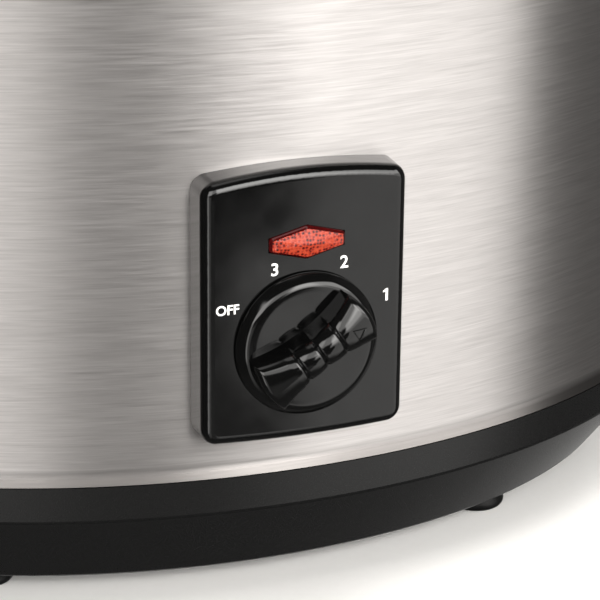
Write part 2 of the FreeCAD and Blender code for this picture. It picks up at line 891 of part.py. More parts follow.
def lens_outline(sketch, grow):
    half, end, mid = d.lens_half + grow, d.lens_end + grow * 0.75, d.lens_mid + grow
    middle = d.lens_height
    corners = [
        (-half, middle - end),
        (0, middle - mid),
        (half, middle - end),
        (half, middle + end),
        (0, middle + mid),
        (-half, middle + end),
    ]
    return polygon(sketch, corners)


def control_panel():
    body = new_body("panel_moulding")
    deep = d.panel_face - d.panel_back
    wall = d.panel_wall

    def from_back():
        return sketch_on(body, "XZ_Plane", d.panel_back)

    def on_face(edge):
        return edge.BoundBox.YMax < -d.panel_face.value + 0.01

    outline = arched_outline(from_back(), d.panel_half, d.panel_low, d.panel_high, d.panel_sag, d.panel_arch)
    block = pad(body, outline, deep, taper=-d.panel_draft)
    block = soften(body, block, d.panel_corner, lambda edge: edge.BoundBox.YLength > d.panel_corner.value)
    soften(body, block, d.panel_edge, on_face)
    half, low, high = d.panel_half - wall, d.panel_low + wall, d.panel_high - wall
    inside = arched_outline(from_back(), half, low, high, d.panel_sag, d.panel_arch)
    pocket(body, inside, deep - wall, reverse=True)
    bosses = from_back()
    pilots = from_back()
    for x, z in panel_screw_places():
        circle(bosses, d.boss, x, z)
        circle(pilots, d.panel_screw, x, z)
    pad(body, bosses, deep - wall)
    pocket(body, pilots, deep - wall - d.boss_blind, reverse=True)
    pocket(body, lens_outline(from_back(), d.lens_room), reverse=True)
    holes = circle(from_back(), d.shaft_hole, 0, d.knob_height)
    heads = sketch_on(body, "XZ_Plane", d.panel_face)
    for side in (-1, 1):
        circle(holes, d.switch_screw + d.hole_room, side * d.switch_screw_x, d.knob_height)
        circle(heads, d.switch_screw_head + d.hole_room, side * d.switch_screw_x, d.knob_height)
    pocket(body, holes, reverse=True)
    pocket(body, heads, d.switch_screw_sink)
    return cut("control_panel", body, wrap_gauge("panel_gauge"))


def panel_screws():
    # Driven from inside the wrap into the panel's bosses, with the head just off the sheet.
    screws = []
    for x, z in panel_screw_places():
        seat = -d.panel_screw_seat
        back = seat + d.panel_screw_head_tall
        shank = cylinder("panel_screw_shank", d.panel_screw, d.panel_screw_length, (x, seat, z), "-Y")
        head = cylinder("panel_screw_disc", d.panel_screw_head, d.panel_screw_head_tall, (x, seat, z), "+Y")
        half = d.panel_screw_slot / 2
        low = (x - d.panel_screw_head, back - d.panel_screw_slot_deep, z - half)
        high = (x + d.panel_screw_head, back + past, z + half)
        slot = box("panel_screw_groove", low, high)
        screws.append(cut("panel_screw_cut", fuse("panel_screw_blank", shank, head), slot))
    return group("panel_screws", screws)


def indicator_lens():
    body = new_body("indicator_lens")
    front = d.panel_face + d.lens_proud
    inner = d.panel_face - d.panel_wall

    def on_front(edge):
        return edge.BoundBox.YMax < -front.value + 0.01

    outline = lens_outline(sketch_on(body, "XZ_Plane", front), 0)
    stem = pad(body, outline, front - inner + d.lens_behind, reverse=True)
    soften(body, stem, d.lens_bevel, on_front, "Chamfer")
    flange = lens_outline(sketch_on(body, "XZ_Plane", inner), d.lens_flange)
    pad(body, flange, d.lens_flange_thick, reverse=True)
    hollow = lens_outline(sketch_on(body, "XZ_Plane", inner - d.lens_behind), -d.lens_wall)
    pocket(body, hollow, d.lens_hollow, reverse=True)
    return body


def lamp_front():
    return -(d.panel_face - d.panel_wall - d.lens_behind)


def lamp_parts():
    front = lamp_front()
    z = d.lens_height
    half, tall = d.lamp_cup_half, d.lamp_cup_half_tall
    cup = box("lamp_cup", (-half, front, z - tall), (half, front + d.lamp_cup_deep, z + tall))
    half, tall = d.lamp_room_half, d.lamp_room_half_tall
    room = box("lamp_room", (-half, front - past, z - tall), (half, front + d.lamp_room_deep, z + tall))
    start = (-d.neon_half, front + d.neon_behind, z)
    tube = cylinder("neon_glass", d.neon_radius, d.neon_half * 2, start, "+X")
    lamp = rounded("neon_lamp", tube, d.neon_round, lambda edge: edge.BoundBox.XLength < 0.01)
    return [cut("lamp_holder", cup, room), lamp]


def switch_tab_low():
    return d.knob_height - d.switch_half_tall - d.switch_tab_length


def switch_case():
    front = d.panel_face - d.panel_wall
    body = new_body("switch_case")
    half, tall, middle = d.switch_half, d.switch_half_tall, d.knob_height

    def from_front():
        return sketch_on(body, "XZ_Plane", front)

    corners = [(-half, middle - tall), (half, middle - tall), (half, middle + tall), (-half, middle + tall)]
    block = pad(body, polygon(from_front(), corners), d.switch_deep, reverse=True)

    def along_y(edge):
        return edge.BoundBox.YLength > d.switch_corner.value

    soften(body, block, d.switch_corner, along_y, "Chamfer")
    pocket(body, circle(from_front(), d.shaft + d.slip_fit, 0, middle), d.switch_deep - d.switch_back)
    pilots = from_front()
    for side in (-1, 1):
        circle(pilots, d.switch_screw, side * d.switch_screw_x, middle)
    pocket(body, pilots, d.switch_screw_pilot)
    return body


def switch_terminals():
    low, high = switch_tab_low(), d.knob_height - d.switch_half_tall
    wide, thick, y = d.tab_wide / 2, d.tab_thick / 2, -d.switch_tab_y
    tabs = []
    for step in (-1.5, -0.5, 0.5, 1.5):
        x = step * d.switch_tab_pitch
        tabs.append(box("switch_tab", (x - wide, y - thick, low), (x + wide, y + thick, high)))
    return group("switch_terminals", tabs)


def switch_screws():
    screws = []
    for side in (-1, 1):
        start = (side * d.switch_screw_x, d.fit_gap - d.panel_face, d.knob_height)
        head = cylinder("switch_screw_disc", d.switch_screw_head, d.switch_screw_head_tall, start, "+Y")
        shank = cylinder("switch_screw_shank", d.switch_screw, d.switch_screw_length, start, "+Y")
        screws.append(fuse("switch_screw_blank", head, shank))
    return group("switch_screws", screws)


def on_knob_axis(item):
    # The knob's own frame: Z straight out of the panel's face, X along the pointer.
    turn = math.radians(d.knob_rest.value)
    pointer = vector(math.sin(turn), 0, math.cos(turn))
    across = vector(-math.cos(turn), 0, math.sin(turn))
    rotation = FreeCAD.Rotation(pointer, across, vector(0, -1, 0), "ZXY")
    return put(item, 0, -d.panel_face, d.knob_height, rotation)


def grip_outline(sketch):
    # An hourglass: ends on a circle about the axis, sides drawn in by shallow arcs.
    end, half, mid = d.grip_end.value, d.grip_half_end.value, d.grip_half_mid.value
    reach = math.sqrt(end ** 2 - half ** 2)
    right = arc_through(sketch, vector(reach, -half, 0), vector(end, 0, 0), vector(reach, half, 0))
    upper = arc_through(sketch, vector(-reach, half, 0), vector(0, mid, 0), vector(reach, half, 0))
    left = arc_through(sketch, vector(-reach, half, 0), vector(-end, 0, 0), vector(-reach, -half, 0))
    lower = arc_through(sketch, vector(reach, -half, 0), vector(0, -mid, 0), vector(-reach, -half, 0))
    for first, first_end, second, second_end in (
        (right, 2, upper, 2), (upper, 1, left, 1), (left, 2, lower, 2), (lower, 1, right, 1)
    ):
        sketch.addConstraint(Sketcher.Constraint("Coincident", first, first_end, second, second_end))
    side = (reach ** 2 + (half - mid) ** 2) / (2 * (half - mid))
    for edge in (right, left):
        sketch.addConstraint(Sketcher.Constraint("Coincident", edge, 3, -1, 1))
        hold_radius(sketch, edge, d.grip_end)
    for edge in (upper, lower):
        hold_radius(sketch, edge, side)
    hold(sketch, right, 1, None, -d.grip_half_end)
    hold(sketch, right, 2, None, d.grip_half_end)
    hold(sketch, left, 1, None, d.grip_half_end)
    hold(sketch, left, 2, None, -d.grip_half_end)
    return sketch


def crown_height(x):
    return d.grip_top.value - d.grip_crown.value + math.sqrt(d.grip_crown.value ** 2 - x ** 2)


def crown_cutter(body):
    # The sketch of what is above the grip's long arched top.
    half = d.skirt_wide.value
    low, high = crown_height(half), d.grip_top + d.skirt_tall
    sketch = sketch_on(body, "XZ_Plane")
    arc = arc_through(sketch, vector(half, low, 0), vector(0, d.grip_top.value, 0), vector(-half, low, 0))
    lines = [vector(-half, low), vector(-half, high.value), vector(half, high.value), vector(half, low)]
    edges = [sketch.addGeometry(Part.LineSegment(a, b), False) for a, b in zip(lines, lines[1:])]
    join_ends(sketch, [arc] + edges)
    hold(sketch, edges[0], 1, -d.skirt_wide, None)
    hold(sketch, edges[0], 2, -d.skirt_wide, high)
    hold(sketch, edges[2], 1, d.skirt_wide, high)
    hold(sketch, edges[2], 2, d.skirt_wide, None)
    hold_radius(sketch, arc, d.grip_crown)
    hold(sketch, arc, 3, 0, d.grip_top - d.grip_crown)
    return sketch


def control_knob():
    body = new_body("knob_moulding")
    floor = d.skirt_tall

    def on_crown(edge):
        middle = edge.valueAt((edge.FirstParameter + edge.LastParameter) / 2)
        return abs(middle.z - crown_height(middle.x)) < 0.05

    skirt = [
        (0, d.skirt_back),
        (d.skirt_wide, d.skirt_back),
        (d.skirt_wide, d.skirt_back + d.skirt_land),
        (d.skirt_front, floor),
        (0, floor),
    ]
    soften(body, revolve(body, skirt), d.skirt_round, lambda edge: turned_ring(edge, d.skirt_front, floor))
    root = floor - d.grip_root
    grip = grip_outline(sketch_on(body, "XY_Plane", root))
    pad(body, grip, d.grip_top - root + d.grip_root, taper=-d.grip_draft)
    soften(body, pocket(body, crown_cutter(body), both=True), d.grip_round, on_crown)
    grooves = sketch_on(body, "XZ_Plane")
    for step in (-1, 0, 1):
        x = step * d.groove_pitch
        circle(grooves, d.groove, x, crown_height(x.value) + d.groove_lift)
    pocket(body, grooves, both=True)
    hollow = circle(sketch_on(body, "XY_Plane", d.skirt_back), d.knob_hub)
    circle(hollow, d.knob_hollow)
    pocket(body, hollow, d.knob_hollow_deep, reverse=True)
    on_knob_axis(body)
    start = d.skirt_back - past
    hole = cylinder("knob_bore_round", d.shaft, d.knob_bore_deep + past, (0, 0, start))
    low = (-d.shaft - past, d.shaft - d.knob_bore_flat, start)
    high = (d.shaft + past, d.shaft + past, d.grip_top)
    bore = on_knob_axis(cut("knob_bore", hole, box("knob_bore_key", low, high)))
    return cut("control_knob", body, bore)


def switch_shaft():
    rod = cylinder("shaft_rod", d.shaft, d.shaft_back + d.shaft_tip, (0, 0, -d.shaft_back))
    low = (-d.shaft - past, d.shaft - d.shaft_flat, d.shaft_flat_start)
    high = (d.shaft + past, d.shaft + past, d.grip_top)
    return on_knob_axis(cut("switch_shaft", rod, box("shaft_key", low, high)))


def knob_spring_clip():
    # A steel leaf between the flat of the shaft and the flat of the knob's bore.
    under, over = d.shaft - d.shaft_flat, d.shaft - d.knob_bore_flat
    leaf = box("clip_leaf", (-d.leaf_half, under, d.leaf_low), (d.leaf_half, over, d.leaf_high))
    thick = (over - under).value
    ends = rounded("clip_ends", leaf, d.leaf_round, lambda edge: abs(edge.BoundBox.YLength - thick) < 0.01)
    return on_knob_axis(group("knob_spring_clip", [ends]))


def handle(hand, side_x):
    # A bow handle: two feet on the wrap and a bar with room for fingers behind it.
    body = new_body(f"handle_{hand}_moulding")
    root, reach, half, foot = d.handle_root, d.handle_reach, d.handle_half, d.handle_foot
    bar = reach - d.handle_bar
    low = d.handle_height - d.handle_tall / 2
    outer_corners = [(reach, half - d.shoulder_across), (reach - d.shoulder_back, half - d.shoulder_flare)]
    inner_corners = [
        (bar - d.finger_back, half - foot - d.finger_flare),
        (bar, half - foot - d.finger_across),
    ]
    upper = outer_corners + [(root, half), (root, half - foot)] + inner_corners
    corners = upper + [(x, -y) for x, y in reversed(upper)]

    def upright_at(places):
        def test(edge):
            middle = edge.BoundBox.Center
            if edge.BoundBox.ZLength < d.handle_edge.value:
                return False
            gaps = [(abs(middle.x - x.value), abs(abs(middle.y) - y.value)) for x, y in places]
            return any(max(gap) < 0.1 for gap in gaps)
        return test

    def long_rim(edge):
        return edge.BoundBox.ZLength < 0.01 and edge.BoundBox.XMax > root.value + 1

    loop = pad(body, polygon(sketch_on(body, "XY_Plane", low), corners), d.handle_tall)
    loop = soften(body, loop, d.handle_outer_round, upright_at(outer_corners))
    loop = soften(body, loop, d.handle_inner_round, upright_at(inner_corners))
    soften(body, loop, d.handle_edge, long_rim)
    put(body, 0, 0, 0, FreeCAD.Rotation(vector(0, 0, 1), 0 if side_x > 0 else 180))
    tools = [wrap_gauge(f"handle_{hand}_gauge")]
    for point, normal in handle_screw_seats():
        if point.x * side_x > 0:
            bite = d.handle_screw_bite + d.hole_room
            tools.append(on_seat("handle_pilot", d.handle_screw, -bite, bite, point, normal))
    return cut(f"handle_{hand}", body, *tools)


def handle_screws():
    screws = []
    seat = -d.sheet - d.handle_screw_stand_off
    for point, normal in handle_screw_seats():
        low = seat - d.handle_screw_head_tall
        head = on_seat("handle_screw_disc", d.handle_screw_head, low, seat, point, normal)
        shank = on_seat("handle_screw_shank", d.handle_screw, seat, d.handle_screw_bite, point, normal)
        screws.append(fuse("handle_screw_blank", head, shank))
    return group("handle_screws", screws)


def crock():
    low, high = d.crock_rim_low, d.crock_rim_high
    wall = oval("crock_outside", (d.crock_foot_inset, d.crock_floor), (d.crock_inset, (low + high) / 2))
    wall = rounded("crock_outside_round", wall, d.crock_round, level_at(d.crock_floor))
    rim = oval("crock_rim", (d.crock_rim_inset, low), (d.crock_rim_inset, high))
    lugs = [cylinder("crock_lug", d.lug_radius, high - low, (side * d.lug_x, 0, low)) for side in (-1, 1)]

    def where_lug_meets_rim(edge):
        box_of = edge.BoundBox
        return box_of.ZLength > 5 and box_of.XLength < 0.1 and abs(box_of.Center.y) > 5

    def mouth(edge):
        across = edge.BoundBox.XLength / 2
        step = (d.half_length - d.crock_seat_inset).value
        seat_edge = level_at(d.crock_seat)(edge) and across < step - past
        rim_edge = level_at(high)(edge) and across < step + past
        return seat_edge or rim_edge

    plate = fuse("crock_plate", rim, *lugs)
    plate = rounded("crock_plate_corner", plate, d.lug_blend, where_lug_meets_rim)
    plate = rounded("crock_plate_edge", plate, d.crock_rim_round, level_at(low, high))
    floor = d.crock_floor + d.crock_base
    inside = oval(
        "crock_inside",
        (d.crock_foot_inset + d.crock_wall, floor),
        (d.crock_inset + d.crock_wall, d.crock_seat + past),
    )
    inside = rounded("crock_hollow", inside, d.crock_inside_round, level_at(floor))
    seat = oval("crock_seat_room", (d.crock_seat_inset, d.crock_seat), (d.crock_seat_inset, high + past))
    bowl = cut("crock_sharp", fuse("crock_blank", wall, plate), inside, seat)
    return rounded("crock", bowl, d.crock_mouth_round, mouth)


# how far the lid's oval has shrunk at each level of its dome
dome_scales = (1, 0.93, 0.82, 0.68, 0.52, 0.36, 0.2, 0.1)


def dome_height(scale):
    # Height of the dome's outside over its edge, where the oval has shrunk to this scale.
    return d.lid_rise * (1 - scale * scale)


def dome(name, shrink, edge_height):
    half_long = d.half_length - d.lid_inset - shrink
    half_wide = d.half_width - d.lid_inset - shrink
    sections = [(half_long * s, half_wide * s, edge_height + dome_height(s)) for s in dome_scales]
    return ellipse_stack(name, sections, ruled=False)


def lid_glass():
    edge_top = d.lid_low + d.lid_thick
    skirt = oval("glass_edge", (d.lid_inset, d.lid_low), (d.lid_inset, edge_top))
    outside = fuse("glass_outside", skirt, dome("glass_dome", 0, edge_top))
    inside = dome("glass_inside", d.lid_thick, d.lid_low)
    screw_hole = cylinder("glass_screw_hole", d.lid_screw + d.hole_room, through, (0, 0, d.lid_low))
    vent = cylinder("glass_vent_hole", d.eyelet_hole, through, (0, -d.vent_y, d.lid_low))
    return cut("lid_glass", outside, inside, screw_hole, vent)


def lid_rim():
    low, high = d.lid_low - d.fit_gap, d.lid_low + d.lid_thick + d.lid_band_lap
    ring = oval("lid_ring", (d.lid_inset - d.lid_band, low), (d.lid_inset - d.lid_band, high))
    ring = rounded("lid_ring_round", ring, d.lid_band_round, level_at(low, high))
    return cut("lid_rim", ring, oval("lid_ring_room", (d.lid_inset, low), (d.lid_inset, high)))


def lid_top():
    return d.lid_low + d.lid_thick + dome_height(dome_scales[-1])


def lid_washer():
    start = (0, 0, lid_top())
    disc = cylinder("washer_disc", d.lid_washer_radius, d.lid_washer, start)
    return cut("lid_washer", disc, cylinder("washer_hole", d.lid_screw + d.hole_room, d.lid_washer, start))


def lid_knob():
    body = new_body("lid_knob")
    seat = lid_top() + d.lid_washer
    wide, neck = d.lid_knob_radius, d.lid_knob_neck
    foot = neck + d.lid_knob_foot
    profile = [
        (0, seat),
        (foot - d.lid_knob_foot_tall, seat),
        (foot, seat + d.lid_knob_foot_tall),
        (neck, seat + d.lid_knob_waist),
        (wide, seat + d.lid_knob_brow),
        (wide - d.lid_knob_shoulder_in, seat + d.lid_knob_shoulder),
        (0, seat + d.lid_knob_tall),
    ]
    turned = revolve(body, profile)
    rounds = {2: 1, 3: 5, 4: 3, 5: 6}  # corner of the profile, and its fillet
    for index, radius in rounds.items():
        r, z = profile[index]
        turned = soften(body, turned, radius, lambda edge, r=r, z=z: turned_ring(edge, r, z))
    pilot = circle(sketch_on(body, "XY_Plane", seat), d.lid_screw)
    pocket(body, pilot, d.lid_screw_bite + d.hole_room, reverse=True)
    return body


def lid_screw():
    # Under the glass: a domed head, and a shank up through the washer into the knob.
    under = d.lid_low + dome_height(dome_scales[-1])
    low = under - d.lid_screw_head_tall
    head = cylinder("lid_screw_disc", d.lid_screw_head, d.lid_screw_head_tall, (0, 0, low))
    head = rounded("lid_screw_dome", head, d.lid_screw_round, level_at(low))
    tip = lid_top() + d.lid_washer + d.lid_screw_bite
    shank = cylinder("lid_screw_shank", d.lid_screw, tip - under, (0, 0, under))
    half, reach = d.lid_screw_slot / 2, d.lid_screw_head + past
    slot = box("lid_screw_groove", (-reach, -half, low - past), (reach, half, low + d.lid_screw_slot))
    return cut("lid_screw", fuse("lid_screw_blank", head, shank), slot)


def steam_vent(glass):
    # A soft eyelet: a collar on each side of the glass and a sleeve through it.
    scale = (d.vent_y / (d.half_width - d.lid_inset)).value
    level = d.lid_low + d.lid_thick / 2 + dome_height(scale)
    low, high = level - d.eyelet_half_tall, level + d.eyelet_half_tall
    blank = cylinder("eyelet_blank", d.eyelet, high - low, (0, -d.vent_y, low))
    blank = rounded("eyelet_collars", blank, d.eyelet_round, level_at(low, high))
    way = cylinder("eyelet_hole_through", d.eyelet_way, high - low, (0, -d.vent_y, low))
    return cut("steam_vent", blank, glass, way)


def wire_run(name, radius, points):
    # A wire: straight runs joined by tangent arcs as large as the runs allow.
    stops = [vector(*[as_size(number).value for number in point]) for point in points]
    edges = []
    start = stops[0]
    for before, corner, after in zip(stops, stops[1:], stops[2:]):
        back = before - corner
        ahead = after - corner
        reach = 0.45 * min(back.Length, ahead.Length)
        half_turn = (math.pi - back.getAngle(ahead)) / 2
        bend = reach / math.tan(half_turn)
        back.normalize()
        ahead.normalize()
        inward = (back + ahead).normalize()
        first, last = corner + back * reach, corner + ahead * reach
        middle = corner + inward * bend * (1 / math.cos(half_turn) - 1)
        edges.append(Part.LineSegment(start, first).toShape())
        edges.append(Part.Arc(first, middle, last).toShape())
        start = last
        print(f"{name}: bend radius {bend:.1f} mm")
    edges.append(Part.LineSegment(start, stops[-1]).toShape())
    path = Part.Wire(edges)
    section = Part.Wire([Part.makeCircle(radius, stops[0], stops[1] - stops[0])])
    tube = path.makePipeShell([section], True, False)
    wanted = math.pi * radius ** 2 * path.Length
    print(f"{name}: volume {tube.Volume:.1f}, section times length {wanted:.1f}")
    item = doc.addObject("Part::Feature", name)
    item.Shape = tube
    return item


def wiring():
    # Routes chosen by hand: across the floor of the base, then up to each flat terminal.
    deck = d.foot_height + d.base_floor + d.block_tall / 2
    tabs = switch_tab_low()
    front = -d.switch_tab_y
    block_x, tab_x = d.block_pitch, d.switch_tab_pitch
    lift = d.tab_thick.value / 2 + d.tab_stand_off.value / 2
    ends = [point + normal * lift for point, normal in heater_tab_places()]
    high_end, low_end, back_end = [(end.x, end.y) for end in ends]
    routes = {
        "wire_live": [
            (-block_x, d.block_front, deck),
            (-block_x, 54, deck),
            (-30, 34, deck),
            (-34, -10, deck),
            (-34, -56, deck + 2),
            (-28, -98, deck + 6),
            (-15, -127, deck + 24),
            (-1.5 * tab_x, front, tabs - 12),
            (-1.5 * tab_x, front, tabs),
        ],
        "wire_neutral": [
            (block_x, d.block_front, deck),
            (block_x, 56, deck),
            (30, 52, deck + 8),
            (34, 76, deck + 18),
            (*back_end, deck + 24),
            (*back_end, d.tab_low),
        ],
    }
    for name, side, end in (("wire_high", -1, high_end), ("wire_low", 1, low_end)):
        routes[name] = [
            (side * tab_x / 2, front, tabs),
            (side * tab_x / 2, front, 48),
            (side * 14, -122, 38),
            (side * 27, -110, 38),
            (*end, 46),
            (*end, d.tab_low),
        ]
    return [wire_run(name, d.wire.value, route) for name, route in routes.items()]


def lamp_leads():
    holder_back = lamp_front() + d.lamp_cup_deep
    case_back = d.panel_wall - d.panel_face + d.switch_deep
    high = d.lens_height - d.lamp_cup_half_tall / 2
    low = d.knob_height + d.switch_half_tall / 2
    far = holder_back + d.lamp_lead_loop
    leads = []
    for hand, side in (("left", -1), ("right", 1)):
        x = side * d.lamp_lead_x
        route = [(x, holder_back, high), (x, far, high), (x, far, low), (x, case_back, low)]
        leads.append(wire_run(f"lamp_lead_{hand}", d.lamp_lead.value, route))
    return group("lamp_leads", leads)


glass = lid_glass()
nodes = [base_tray(), *feet(), outer_shell(), inner_liner(), *clamp_parts()]
nodes += [heater_band(), heater_terminals(), heater_clamp_bolt(), thermal_fuse(), fuse_clip()]
nodes += [cord_gland(), gland_nut(), terminal_block(), terminal_screws()]
nodes += [control_panel(), panel_screws(), indicator_lens(), *lamp_parts()]
nodes += [switch_case(), switch_terminals(), switch_screws()]
nodes += [control_knob(), switch_shaft(), knob_spring_clip()]
nodes += [handle(hand, side_x) for hand, side_x in handle_sides] + [handle_screws()]
nodes += [crock(), glass, lid_rim(), lid_washer(), lid_knob(), lid_screw(), steam_vent(glass)]
nodes += wiring() + [lamp_leads()]
doc.recompute()

for item in doc.Objects:
    if "Invalid" in item.State or "Error" in item.State:
        raise RuntimeError(f"{item.Name} failed to recompute: {item.State}")
for node in nodes:
    if node.Shape.isNull() or not node.Shape.isValid() or not node.Shape.Solids:
        raise RuntimeError(f"{node.Label} has no valid solid")

os.makedirs("parts", exist_ok=True)
for node in nodes:
    node.Shape.exportStep(f"parts/{node.Label}.step")
    box_of = node.Shape.BoundBox
    print(f"{node.Label}: {len(node.Shape.Solids)} solids, {node.Shape.Volume / 1000:.2f} cm3, {box_of}")
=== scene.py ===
import bmesh
import bpy
import json
import math
from mathutils import Matrix, Vector


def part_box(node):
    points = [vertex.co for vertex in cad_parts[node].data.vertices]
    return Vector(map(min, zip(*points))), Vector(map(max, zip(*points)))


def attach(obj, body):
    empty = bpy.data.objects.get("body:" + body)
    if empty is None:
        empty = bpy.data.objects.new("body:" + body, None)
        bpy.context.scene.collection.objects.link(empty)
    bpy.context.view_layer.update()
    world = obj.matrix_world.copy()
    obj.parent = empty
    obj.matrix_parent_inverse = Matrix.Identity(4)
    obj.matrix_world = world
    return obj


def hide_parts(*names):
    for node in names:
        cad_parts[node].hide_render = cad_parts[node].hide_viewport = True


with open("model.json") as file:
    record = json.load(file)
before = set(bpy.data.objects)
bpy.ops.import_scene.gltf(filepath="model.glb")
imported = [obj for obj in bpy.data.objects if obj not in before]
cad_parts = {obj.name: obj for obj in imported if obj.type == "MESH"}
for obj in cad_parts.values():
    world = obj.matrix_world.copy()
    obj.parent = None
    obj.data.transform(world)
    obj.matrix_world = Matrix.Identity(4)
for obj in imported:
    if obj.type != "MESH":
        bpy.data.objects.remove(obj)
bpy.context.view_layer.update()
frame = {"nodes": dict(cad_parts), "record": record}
nodes = frame["nodes"]
scene = bpy.context.scene
mm = 0.001
weld = 0.001      # mm, vertices nearer to each other than this become one
same = 0.01       # mm, places nearer to each other than this count as one
noiseReach = (0.25, 0.75)      # most of a noise lies between these values
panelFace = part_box("control_panel")[0][1]      # m, the panel's front
print("frame loaded:", len(nodes), "nodes")


def toLinear(hexCode):
    # an sRGB hex value as the linear colour that shaders take
    channels = [int(hexCode[i:i + 2], 16) / 255 for i in (0, 2, 4)]
    return tuple(c / 12.92 if c <= 0.04045 else ((c + 0.055) / 1.055) ** 2.4 for c in channels) + (1,)


def addNode(tree, kind, settings=None, links=None):
    # settings are sockets by name or number, or else the node's own properties
    node = tree.nodes.new(kind)
    for key, value in (settings or {}).items():
        if isinstance(key, int) or key in node.inputs:
            node.inputs[key].default_value = value
        else:
            setattr(node, key, value)
    for key, socket in (links or {}).items():
        tree.links.new(socket, node.inputs[key])
    return node


def newMaterial(name, sockets):
    material = bpy.data.materials.new(name)
    material.use_nodes = True
    tree = material.node_tree
    shader = tree.nodes["Principled BSDF"]
    for key, value in sockets.items():
        shader.inputs[key].default_value = value
    return material, tree, shader


def grainPattern(tree, size, detail=3, stretch=1, harshness=0.6):
    # noise whose marks are about size millimetres tall and stretch times as long on the level
    coords = addNode(tree, "ShaderNodeTexCoord")
    level = 1 / (size * mm * stretch)
    settings = {"Scale": (level, level, 1 / (size * mm))}
    mapping = addNode(tree, "ShaderNodeMapping", settings, {"Vector": coords.outputs["Object"]})
    settings = {"Scale": 1, "Detail": detail, "Roughness": harshness}
    noise = addNode(tree, "ShaderNodeTexNoise", settings, {"Vector": mapping.outputs["Vector"]})
    return noise.outputs["Fac"]


def dressSurface(tree, shader, tone=None, shine=None, relief=None):
    # tone is a pattern and two hex colours, shine a pattern and two roughnesses,
    # and relief a pattern, its height in millimetres and its strength
    if tone:
        pattern, dark, light = tone
        settings = {"data_type": "RGBA", 6: toLinear(dark), 7: toLinear(light)}
        mixed = addNode(tree, "ShaderNodeMix", settings, {0: pattern})
        tree.links.new(mixed.outputs[2], shader.inputs["Base Color"])
    if shine:
        pattern, low, high = shine
        settings = {"From Min": noiseReach[0], "From Max": noiseReach[1], "To Min": low, "To Max": high}
        ranged = addNode(tree, "ShaderNodeMapRange", settings, {"Value": pattern})
        tree.links.new(ranged.outputs["Result"], shader.inputs["Roughness"])
    if relief:
        pattern, height, strength = relief
        settings = {"Distance": height * mm, "Strength": strength}
        bump = addNode(tree, "ShaderNodeBump", settings, {"Height": pattern})
        tree.links.new(bump.outputs["Normal"], shader.inputs["Normal"])


def makeObject(name, bm, smooth=None):
    # one finished mesh object at the origin; smooth is the sharpest angle that is shaded round
    mesh = bpy.data.meshes.new(name)
    bm.to_mesh(mesh)
    bm.free()
    if smooth is not None:
        mesh.shade_smooth()
        mesh.set_sharp_from_angle(angle=math.radians(smooth))
    piece = bpy.data.objects.new(name, mesh)
    scene.collection.objects.link(piece)
    return piece


# the studio's light tent; each box is a soft window of light in it, seen from the object:
# turn is to the right of the front and rise above the horizon, in degrees, each as
# where the light starts, is full, is still full and ends
studio = {
    "warm": "fffdfa",
    "gloom": 0.055,
    "boxes": [
        {"turn": (20.3, 21.5, 58, 67), "rise": (-52, -30, -2, 2), "level": 1.17},       # lit floor, right
        {"turn": (19.2, 19.6, 20.3, 21.5), "rise": (-22.6, -21.8, -19.6, -18.8), "level": 1.1},    # its edge
        {"turn": (-50, -40, -26, -10), "rise": (-62, -36, -2, 2), "level": 0.7},        # lit floor, left
        {"turn": (-18, -8, 8, 16), "rise": (-60, -40, -24, -12), "level": 0.22},        # shaded floor, front
        {"turn": (10, 14, 20, 22), "rise": (-60, -40, -23.5, -18), "level": 0.12},      # its paler corner
        {"turn": (13, 17, 20.3, 21.5), "rise": (-45, -36, -28, -24.5), "level": 0.8},   # floor near the base
        {"turn": (110, 150, 178, 179), "rise": (-62, -36, -2, 2), "level": 0.6},        # floor behind, right
        {"turn": (-181, -180, 180, 181), "rise": (-92, -91, -52, -36), "level": 0.04},  # floor in the shade
        {"turn": (62, 74, 115, 135), "rise": (-40, -20, 30, 50), "level": 0.06},        # dim wall, right
        {"turn": (4, 10, 61, 68), "rise": (-2, 2, 13, 19), "level": 2.2},               # pale wall, right
        {"turn": (1, 8, 60, 67), "rise": (13, 18, 34, 44), "level": 5.0},               # main soft box
        {"turn": (5, 11, 21, 32), "rise": (3, 9, 34, 44), "level": 3.4},                # its bright edge
        {"turn": (-54, -49, -40, -33), "rise": (-34, -24, 8, 14), "level": 2.1},        # strip light, left
        {"turn": (-56, -48, -24, -14), "rise": (8, 13, 34, 43), "level": 4.6},          # its upper part
        {"turn": (-24, -12, 2, 12), "rise": (11, 16, 34, 44), "level": 2.6},            # pale wall between
        {"turn": (-181, -180, 180, 181), "rise": (68, 78, 91, 92), "level": 1.0},       # white ceiling
        {"turn": (-179, -178, -150, -110), "rise": (-62, -36, -2, 2), "level": 0.6},    # floor behind, left
        {"turn": (120, 135, 165, 178), "rise": (5, 20, 50, 65), "level": 3.4},          # rear box, right
        {"turn": (-178, -165, -135, -120), "rise": (5, 20, 50, 65), "level": 3.4},      # rear box, left
    ],
    "diffusers": [
        {"size": 1.2, "place": (0, -0.35, 1.6), "aim": (0, -0.35, 0), "power": 26},     # over the front
        {"size": 0.9, "place": (-0.2, -1.3, 0.45), "aim": (0.05, 0, 0), "power": 7},    # low, for the floor
    ],
}


